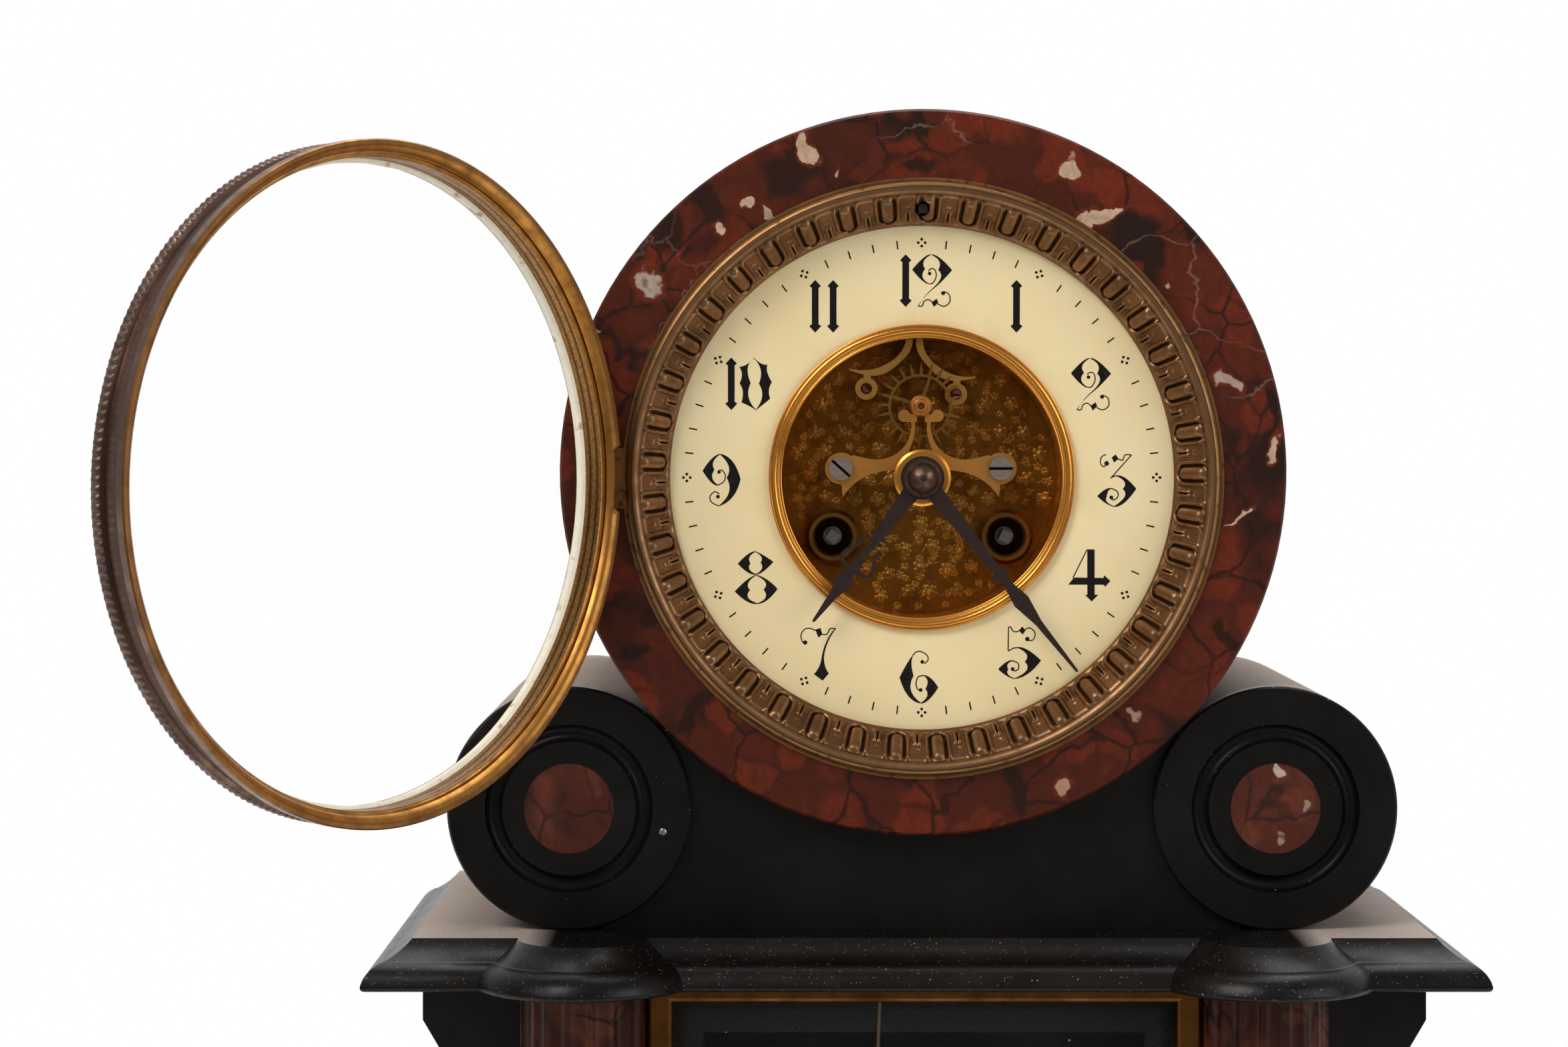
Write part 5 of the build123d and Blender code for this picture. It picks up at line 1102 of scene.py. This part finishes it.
sprig_pitch = 6.9
row_pitch = 0.87 * sprig_pitch
stray = 0.9
rows = int(plate_radius / sprig_pitch) + 2
flowers = []
for row in range(-rows, rows + 1):
    for column in range(-rows, rows + 1):
        x = (column + 0.5 * (row % 2)) * sprig_pitch + sprig_chance.uniform(-stray, stray)
        z = row * row_pitch + sprig_chance.uniform(-stray, stray)
        flowers.append((x, z, sprig_chance.uniform(0, 2 * math.pi)))
for x, z, turn in flowers:
    radius = sprig_chance.uniform(1.75, 2.15)
    if on_plate(x, z, radius):
        stamp_flower(x, z, radius, turn)
    for branch in range(3):
        angle = turn + branch * branch_turn + sprig_chance.uniform(-0.3, 0.3)
        near = (x + stem_from * math.cos(angle), z + stem_from * math.sin(angle))
        swept = angle + stem_sweep
        far = (x + stem_to * math.cos(swept), z + stem_to * math.sin(swept))
        if on_plate(*near, 0.4) and on_plate(*far, 2.0):
            stamp_stem(near, far, stem_bend)
            stamp_spray(*far, angle + sprig_chance.uniform(0.1, 0.7))
add_mesh("stamped_sprigs", sprig_points, sprig_faces, "clock", sprig_brass, sharp=60)


# Visible escapement in front of the centre plate.
# The escape wheel turns in a satin brass cock held by two slotted steel screws.
# The anchor's arms carry two polished collets with half-round garnet pallets.
cock_brass = brass_material("cock_brass", (0.69, 0.31, 0.075, 1), (0.46, 0.20, 0.044, 1), 0.38, 0.6)
shade(cock_brass, "escape_cock")
anchor_brass = brass_material("anchor_brass", (0.82, 0.42, 0.10, 1), (0.52, 0.25, 0.055, 1), 0.3, 0.6)
shade(anchor_brass, "pallet_anchor")
wheel_brass = brass_material("wheel_brass", (0.34, 0.165, 0.036, 1), (0.19, 0.088, 0.019, 1), 0.4)
shade(wheel_brass, "escape_wheel")


def screw_material(name, front_y):
    """Grey steel screw head; below its front, in the slot and on the shank, a near-black painted shade."""
    made, tree, shader = new_material(name)
    place = object_place(tree)
    depth = part_along(tree, place, "Y")
    # Everything behind the head's front is near black: painted shade in the slot.
    sunk = span(tree, depth, front_y + 0.15 * MM, front_y + 0.3 * MM)
    streak = put(tree, "ShaderNodeMapping", {"Vector": place, "Scale": (1, 1, 9)}).outputs[0]
    brushed = span(tree, clouds(tree, streak, 700, 6), 0.35, 0.65)
    colour = mixed(tree, brushed, (0.46, 0.39, 0.335, 1), (0.31, 0.255, 0.215, 1))
    colour = mixed(tree, sunk, colour, (0.012, 0.009, 0.007, 1))
    join(tree, shader, {"Base Color": colour, "Roughness": 0.4, "Metallic": 1.0})
    rough_bump(tree, shader, brushed, 0.08, 0.0001)
    return made


shade(screw_material("cock_screw_steel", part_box("cock_screws")[0].y), "cock_screws")
garnet_made, garnet_tree, garnet_shader = new_material("garnet")
garnet_cloud = clouds(garnet_tree, object_place(garnet_tree), 900, 3)
garnet_colour = mixed(garnet_tree, garnet_cloud, (0.045, 0.004, 0.003, 1), (0.10, 0.010, 0.007, 1))
join(garnet_tree, garnet_shader, {"Base Color": garnet_colour, "Roughness": 0.08, "IOR": 1.76})
shade(garnet_made, "pallet_jewels")


# Hands: sawn and filed steel, blued and since turned brown.
# The hour hand, with two open scrolls, is riveted to a gilt collet on its pipe.
# The minute hand sits on the cannon pinion, and a domed nut on the centre arbor holds both.
hand_steel = brass_material("hand_steel", (0.068, 0.047, 0.043, 1), (0.042, 0.028, 0.026, 1), 0.5, 0.55, 300)
shade(hand_steel, "minute_hand")
hour_low, hour_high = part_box("hour_hand")
hour_angle = math.radians(217.3)
hour_tip = 45.2
hour_hub_radius = 5.4
hour_bore_radius = 3.22
hour_half = [
    (2.2, 4.9), (1.3, 17.8), (2.3, 18.0), (2.3, 18.7), (1.1, 19.0), (1.1, 19.3), (2.3, 19.5), (2.3, 20.2),
    (1.0, 20.5), (0.85, 23.0), (0.9, 25.0), (1.5, 27.6), (1.2, 29.6), (2.25, 32.3), (1.1, 36.5),
    (0.35, hour_tip - 0.4),
]
scroll_path = [(1.0, 28.2), (2.9, 28.6), (4.3, 27.5), (4.2, 25.8), (3.2, 24.2), (2.7, 22.6), (3.2, 21.2)]
scroll_width = 0.85
scroll_inset = 0.06
hub_inset = 0.04
hour_points = []
hour_faces = []


def wall_faces(first, count):
    """Faces between two outlines of equal count whose points follow each other from first on."""
    afters = [(k + 1) % count for k in range(count)]
    return [(first + k, first + j, first + count + j, first + count + k) for k, j in enumerate(afters)]


def saw_out(outline, inset):
    """Adds a flat form of the hour hand, in millimetres across and along it, thinner by the inset."""
    start = len(hour_points)
    count = len(outline)
    for depth in (hour_low.y + inset * MM, hour_high.y - inset * MM):
        for across, along in outline:
            x = across * math.cos(hour_angle) + along * math.sin(hour_angle)
            z = along * math.cos(hour_angle) - across * math.sin(hour_angle)
            hour_points.append(dial_point(x, z, depth))
    flat = [Vector((across, along, 0)) for across, along in outline]
    for corners in tessellate_polygon([flat]):
        hour_faces.append(tuple(start + k for k in corners))
        hour_faces.append(tuple(start + count + k for k in reversed(corners)))
    hour_faces.extend(wall_faces(start, count))


mirrored_half = [(-across, along) for across, along in reversed(hour_half)]
saw_out(hour_half + [(0.0, hour_tip)] + mirrored_half, 0.0)
for side in (-1, 1):
    line = flowing_line([(side * across, along) for across, along in scroll_path])
    saw_out(ribbon(line, scroll_width), scroll_inset)
hub_sides = (hub_inset, (hour_high.y - hour_low.y) / MM - hub_inset)
hub_profile = [(depth, hour_hub_radius) for depth in hub_sides]
hub_profile += [(depth, hour_bore_radius) for depth in reversed(hub_sides)]
hub_points, hub_faces = lathe_mesh(hub_profile, hour_low.y, dial_centre, 64)
hub_start = len(hour_points)
hour_points += hub_points
hour_faces += [tuple(hub_start + k for k in face) for face in hub_faces]
sawn_hand = add_mesh("hour_hand_sawn", hour_points, hour_faces, "hour_work", hand_steel)
form = bmesh.new()
form.from_mesh(sawn_hand.data)
bmesh.ops.recalc_face_normals(form, faces=form.faces)
form.to_mesh(sawn_hand.data)
form.free()
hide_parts("hour_hand")
nut_steel = brass_material("nut_steel", (0.20, 0.125, 0.09, 1), (0.07, 0.04, 0.028, 1), 0.4, 0.5, 420)
shade(nut_steel, "hand_nut")
nut_low, nut_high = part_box("hand_nut")
cap_profile = [(0.3, 0.95), (-0.06, 0.95), (-0.14, 0.8), (-0.18, 0.5), (-0.19, 0.05), (0.3, 0.05)]
cap_points, cap_faces = lathe_mesh(cap_profile, nut_low.y, (nut_low + nut_high) / 2, 24)
add_mesh("arbor_end", cap_points, cap_faces, "minute_work", hand_steel, sharp=50)
shade(gilt, "hour_collet")


# Bezel: turned brass ring with a knurled front edge, hinged at the left.
# A flat glass lies against its lip, held by a fillet of cream putty.
# It stands open, so its inner side faces the viewer.
bezel_joint = next(j for j in frame["joints"] if j["name"] == "bezel_hinge")
hinge_at = Vector(bezel_joint["pos_m"])
opening = bezel_joint["range_deg"][1]
turned_open = Matrix.Rotation(math.radians(-opening), 4, "Z")
swing = Matrix.Translation(hinge_at) @ turned_open @ Matrix.Translation(-hinge_at)
bezel_rise = 9.9
bezel_back = dial_y - bezel_rise * MM
wall_radius = 74.5
turned_lines = (-4.4, -6.6)
outer_edge = ((-2.0, 76.35), (-0.6, 77.9))


def bezel_material(name):
    """Brass ring: grey-brown outside, granular with two turned lines inside, gold steps, orange rim."""
    made, tree, shader = new_material(name)
    place = object_place(tree)
    inputs = {"Vector": place, "Center": hinge_at, "Angle": math.radians(opening)}
    closed = put(tree, "ShaderNodeVectorRotate", inputs, rotation_type="Z_AXIS").outputs[0]
    radius = from_middle(tree, closed)
    depth = part_along(tree, closed, "Y")
    tone = clouds(tree, place, 170, 8, 0.62)
    worn = span(tree, tone, 0.38, 0.66)
    gold = mixed(tree, worn, (0.56, 0.255, 0.055, 1), (0.29, 0.125, 0.03, 1))
    grains = span(tree, clouds(tree, place, 1400, 6, 0.7), 0.4, 0.6)
    granular = mixed(tree, grains, (0.38, 0.185, 0.055, 1), (0.20, 0.095, 0.03, 1))
    for line_at in turned_lines:
        off_line = maths(tree, "ABSOLUTE", maths(tree, "SUBTRACT", depth, bezel_back + line_at * MM), 0.0)
        line = span(tree, off_line, 0.25 * MM, 0.55 * MM, 0.8, 0)
        granular = mixed(tree, line, granular, (0.05, 0.024, 0.01, 1))
    mauve = mixed(tree, worn, (0.21, 0.135, 0.105, 1), (0.125, 0.075, 0.056, 1))
    rim = mixed(tree, worn, (0.36, 0.165, 0.05, 1), (0.20, 0.09, 0.03, 1))
    colour = mixed(tree, span(tree, radius, wall_radius * MM, (wall_radius + 0.1) * MM), granular, gold)
    depths = [bezel_back + edge_depth * MM for edge_depth, _ in outer_edge]
    limit = span(tree, depth, *depths, *[edge_radius * MM for _, edge_radius in outer_edge])
    outside = maths(tree, "GREATER_THAN", radius, limit)
    colour = mixed(tree, outside, colour, mauve)
    back = span(tree, depth, bezel_back - 0.3 * MM, bezel_back - 0.2 * MM)
    colour = mixed(tree, back, colour, rim)
    gloss = span(tree, tone, 0.35, 0.7, 0.3, 0.46)
    join(tree, shader, {"Base Color": colour, "Roughness": gloss, "Metallic": 1.0})
    rough_bump(tree, shader, grains, 0.1, 0.0001)
    return made


bezel_profile = [
    (0.0, 77.3), (0.0, 78.2), (-0.3, 78.5), (-2.2, 78.5), (-3.6, 77.65), (-5.2, 77.0), (-6.8, 76.67),
    (-8.2, 76.6), (-8.6, 77.5), (-11.4, 77.5), (-12.0, 76.9), (-12.0, 75.5), (-10.8, 73.8), (-10.8, 74.4),
    (-3.1, 74.4), (-3.0, 74.7), (-2.8, 74.85), (-2.55, 74.75), (-2.5, 75.7), (-2.15, 75.75), (-2.1, 75.3),
    (-1.5, 75.5), (-0.9, 75.9), (-0.45, 76.5), (-0.15, 77.1),
]
notch_half = 7.8
notch_front = -7.0
notch_radius = 76.2
bezel_points, bezel_faces = lathe_mesh(bezel_profile, bezel_back, dial_centre, 720)
for number, point in enumerate(bezel_points):
    away = Vector((point[0] - dial_centre.x, 0, point[2] - dial_centre.z))
    in_notch = abs(away.z) < notch_half * MM and away.x < 0 and point[1] > bezel_back + notch_front * MM
    if in_notch and away.length > notch_radius * MM:
        away *= notch_radius * MM / away.length
        bezel_points[number] = (dial_centre.x + away.x, point[1], dial_centre.z + away.z)
knuckle_radius = 1.8
knuckle_length = 9.0
knuckle_corners = 20
leaf_reach = 3.5
for side in (-1, 1):
    low = side * notch_half - (knuckle_length if side < 0 else 0)
    outline = [(leaf_reach, -knuckle_radius), (leaf_reach, knuckle_radius)]
    for corner in range(knuckle_corners + 1):
        angle = math.radians(90 + 180 * corner / knuckle_corners)
        outline.append((knuckle_radius * math.cos(angle), knuckle_radius * math.sin(angle)))
    first = len(bezel_points)
    count = len(outline)
    for height in (low, low + knuckle_length):
        for x, y in outline:
            bezel_points.append((hinge_at.x + x * MM, hinge_at.y + y * MM, dial_centre.z + height * MM))
    bezel_faces += wall_faces(first, count)
    bezel_faces.append(tuple(range(first + count - 1, first - 1, -1)))
    bezel_faces.append(tuple(range(first + count, first + 2 * count)))
bezel_points = [swing @ Vector(point) for point in bezel_points]
bezel_brass = bezel_material("bezel_brass")
turned_bezel = add_mesh("bezel_turned", bezel_points, bezel_faces, "bezel", bezel_brass, sharp=30)
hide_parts("bezel_ring")
knuckle_brass = brass_material("knuckle_brass", (0.22, 0.14, 0.08, 1), (0.12, 0.07, 0.04, 1), 0.42)
shade(knuckle_brass, "bezel_hinge_pin")
shade(pane_material("bezel_pane", white, 0.0, 0.0, 1.22, 0.0), "bezel_glass")
knurl_count = 246
knurl_radius = 77.5
knurl_front = -11.5
knurl_back = -8.7
knurl_points = []
knurl_faces = []
knurl_fineness = 8
knurl_low = 0.08
knurl_depth = 0.42
knurl_steps = knurl_fineness * knurl_count
knurl_rows = ((knurl_back, -0.1), (knurl_back - 0.3, 1.0), (knurl_front + 0.5, 1.0), (knurl_front, -0.1))
for step in range(knurl_steps):
    angle = 2 * math.pi * step / knurl_steps
    ridge = knurl_low + knurl_depth * abs(math.cos(math.pi * step / knurl_fineness))
    for depth, share in knurl_rows:
        radius = knurl_radius + ridge * share
        at = (radius * math.cos(angle), radius * math.sin(angle))
        knurl_points.append(swing @ Vector(dial_point(*at, bezel_back + depth * MM)))
for step in range(knurl_steps):
    here = step * len(knurl_rows)
    there = (step + 1) % knurl_steps * len(knurl_rows)
    for k in range(len(knurl_rows) - 1):
        knurl_faces.append((here + k, there + k, there + k + 1, here + k + 1))
knurl_brass = brass_material("knurl_brass", (0.16, 0.108, 0.084, 1), (0.09, 0.056, 0.042, 1), 0.46, 0.55, 170)
add_mesh("bezel_knurl", knurl_points, knurl_faces, "bezel", knurl_brass, sharp=60)


def putty_material(name):
    """Dry cream putty with small rusty stains."""
    made, tree, shader = new_material(name)
    place = object_place(tree)
    lumps = clouds(tree, place, 500, 6)
    colour = mixed(tree, lumps, (0.95, 0.91, 0.78, 1), (0.80, 0.72, 0.54, 1))
    stain = span(tree, clouds(tree, place, 240, 5, 0.6), 0.6, 0.68, 0, 0.7)
    colour = mixed(tree, stain, colour, (0.42, 0.21, 0.06, 1))
    join(tree, shader, {"Base Color": colour, "Roughness": 0.85})
    rough_bump(tree, shader, lumps, 0.4, 0.0004)
    return made


putty_profile = [(-10.77, 73.9), (-10.77, 74.385), (-8.2, 74.385), (-8.35, 74.1), (-8.64, 73.45)]
putty_profile += [(-8.76, 73.35)]
putty_steps = 480
putty_points, putty_faces = lathe_mesh(putty_profile, bezel_back, dial_centre, putty_steps)
for number, point in enumerate(putty_points):
    step, corner = divmod(number, len(putty_profile))
    angle = 2 * math.pi * step / putty_steps
    if corner > 3:
        wave = 0.1 * math.sin(7 * angle) + 0.08 * math.sin(17 * angle + 1.3) + 0.06 * math.sin(41 * angle)
        x = point[0] + wave * MM * math.cos(angle)
        putty_points[number] = (x, point[1], point[2] + wave * MM * math.sin(angle))
putty_points = [swing @ Vector(point) for point in putty_points]
putty = putty_material("putty")
putty_bead = add_mesh("putty_bead", putty_points, putty_faces, "bezel", putty, sharp=60)
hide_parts("glass_putty")


# Back of the drum: brass ring let into the slate, screws of the straps, and the hinged door.
# The door is a thin disc with a turned knob, and opens to reach the gong and pendulum.
toned_brass = brass_material("toned_brass", (0.40, 0.20, 0.065, 1), (0.13, 0.065, 0.028, 1), 0.32)
shade(toned_brass, "back_ring", "back_door")
shade(steel, "strap_screws")


# Studio: a pale floor, a soft light from the upper left, weaker ones from the right and from overhead.
# The room in front, which polished stone and metal mirror, is darker than the white behind the clock.
# The camera stands level with the dial's upper part and a little to the left.
floor_made, floor_tree, floor_shader = new_material("studio_floor")
join(floor_tree, floor_shader, {"Base Color": (0.82, 0.82, 0.82, 1), "Roughness": 0.9})
floor_rays = put(floor_tree, "ShaderNodeLightPath").outputs
seen = maths(floor_tree, "MAXIMUM", floor_rays["Is Camera Ray"], floor_rays["Is Transmission Ray"])
seen = maths(floor_tree, "MAXIMUM", seen, floor_rays["Is Glossy Ray"])
shadow_glow = 0.3
front_glow = 0.2
white_from, white_to = 0.4, 0.9
front_from, front_to = -0.25, -0.6
glow = put(floor_tree, "ShaderNodeEmission", {"Color": white, "Strength": shadow_glow}).outputs[0]
lit = put(floor_tree, "ShaderNodeAddShader", {0: glow, 1: floor_shader.outputs[0]}).outputs[0]
plain = put(floor_tree, "ShaderNodeEmission", {"Color": white, "Strength": 1.0}).outputs[0]
floor_place = object_place(floor_tree)
far_off = span(floor_tree, vectors(floor_tree, "LENGTH", floor_place, out="Value"), white_from, white_to)
faded = put(floor_tree, "ShaderNodeMixShader", {0: far_off, 1: lit, 2: plain}).outputs[0]
ground = put(floor_tree, "ShaderNodeMixShader", {0: seen, 1: floor_shader.outputs[0], 2: faded}).outputs[0]
in_front = span(floor_tree, part_along(floor_tree, floor_place, "Y"), front_from, front_to)
in_front = times(floor_tree, floor_rays["Is Glossy Ray"], in_front)
dim = put(floor_tree, "ShaderNodeEmission", {"Color": (1, 0.95, 0.9, 1), "Strength": front_glow}).outputs[0]
ground = put(floor_tree, "ShaderNodeMixShader", {0: in_front, 1: ground, 2: dim}).outputs[0]
floor_tree.links.new(ground, floor_tree.nodes["Material Output"].inputs["Surface"])
floor_half = 6.0
floor_mesh = bpy.data.meshes.new("studio_floor")
floor_corners = [(-1, -1), (1, -1), (1, 1), (-1, 1)]
floor_points = [(floor_half * x, floor_half * y, 0) for x, y in floor_corners]
floor_mesh.from_pydata(floor_points, [], [(0, 1, 2, 3)])
floor_mesh.materials.append(floor_made)
floor = bpy.data.objects.new("studio_floor", floor_mesh)
bpy.context.scene.collection.objects.link(floor)


def soft_light(name, at, target, size, power, colour=(1, 1, 1)):
    """Square area lamp that faces a target."""
    lamp = bpy.data.lights.new(name, "AREA")
    lamp.size = size
    lamp.energy = power
    lamp.color = colour
    light = bpy.data.objects.new(name, lamp)
    bpy.context.scene.collection.objects.link(light)
    light.location = at
    light.rotation_euler = (Vector(target) - Vector(at)).to_track_quat("-Z", "Y").to_euler()


middle = (0, 0, 0.27)
soft_light("key_light", (-0.75, -0.95, 1.25), middle, 0.7, 15, (1, 0.97, 0.93))
soft_light("fill_light", (1.1, -0.9, 0.7), middle, 0.9, 7, (0.96, 0.98, 1))
soft_light("top_light", (0.1, 0.35, 1.5), middle, 0.9, 10)

world = bpy.data.worlds.new("studio")
world.use_nodes = True
bpy.context.scene.world = world
sky_tree = world.node_tree
sky = sky_tree.nodes["Background"]
sky_strength = 0.35
front_strength = 0.25
rays = put(sky_tree, "ShaderNodeLightPath").outputs
straight = maths(sky_tree, "MAXIMUM", rays["Is Camera Ray"], rays["Is Transmission Ray"])
towards = put(sky_tree, "ShaderNodeTexCoord").outputs["Generated"]
mirrored = span(sky_tree, part_along(sky_tree, towards, "Y"), -0.1, 0.5, front_strength, 1.0)
bright = span(sky_tree, rays["Is Glossy Ray"], 0, 1, sky_strength, mirrored)
bright = maths(sky_tree, "MAXIMUM", straight, bright)
join(sky_tree, sky, {"Color": white, "Strength": bright})

bpy.context.scene.view_settings.view_transform = "Standard"
picture_width = 2348
picture_height = 1568
vanishing_px = (1170, 622)
focal_px = 5077
camera_data = bpy.data.cameras.new("camera")
camera_data.sensor_width = 36.0
camera_data.lens = camera_data.sensor_width * focal_px / picture_width
camera_data.shift_x = (picture_width / 2 - vanishing_px[0]) / picture_width
camera_data.shift_y = (vanishing_px[1] - picture_height / 2) / picture_width
camera_data.dof.use_dof = False
camera = bpy.data.objects.new("camera", camera_data)
bpy.context.scene.collection.objects.link(camera)
camera_left = 0.0352
camera_distance = 0.850
camera_above = 0.0156
camera.location = (-camera_left, dial_y - camera_distance, dial_centre.z + camera_above)
camera.rotation_euler = (math.radians(90), 0, 0)
bpy.context.scene.camera = camera
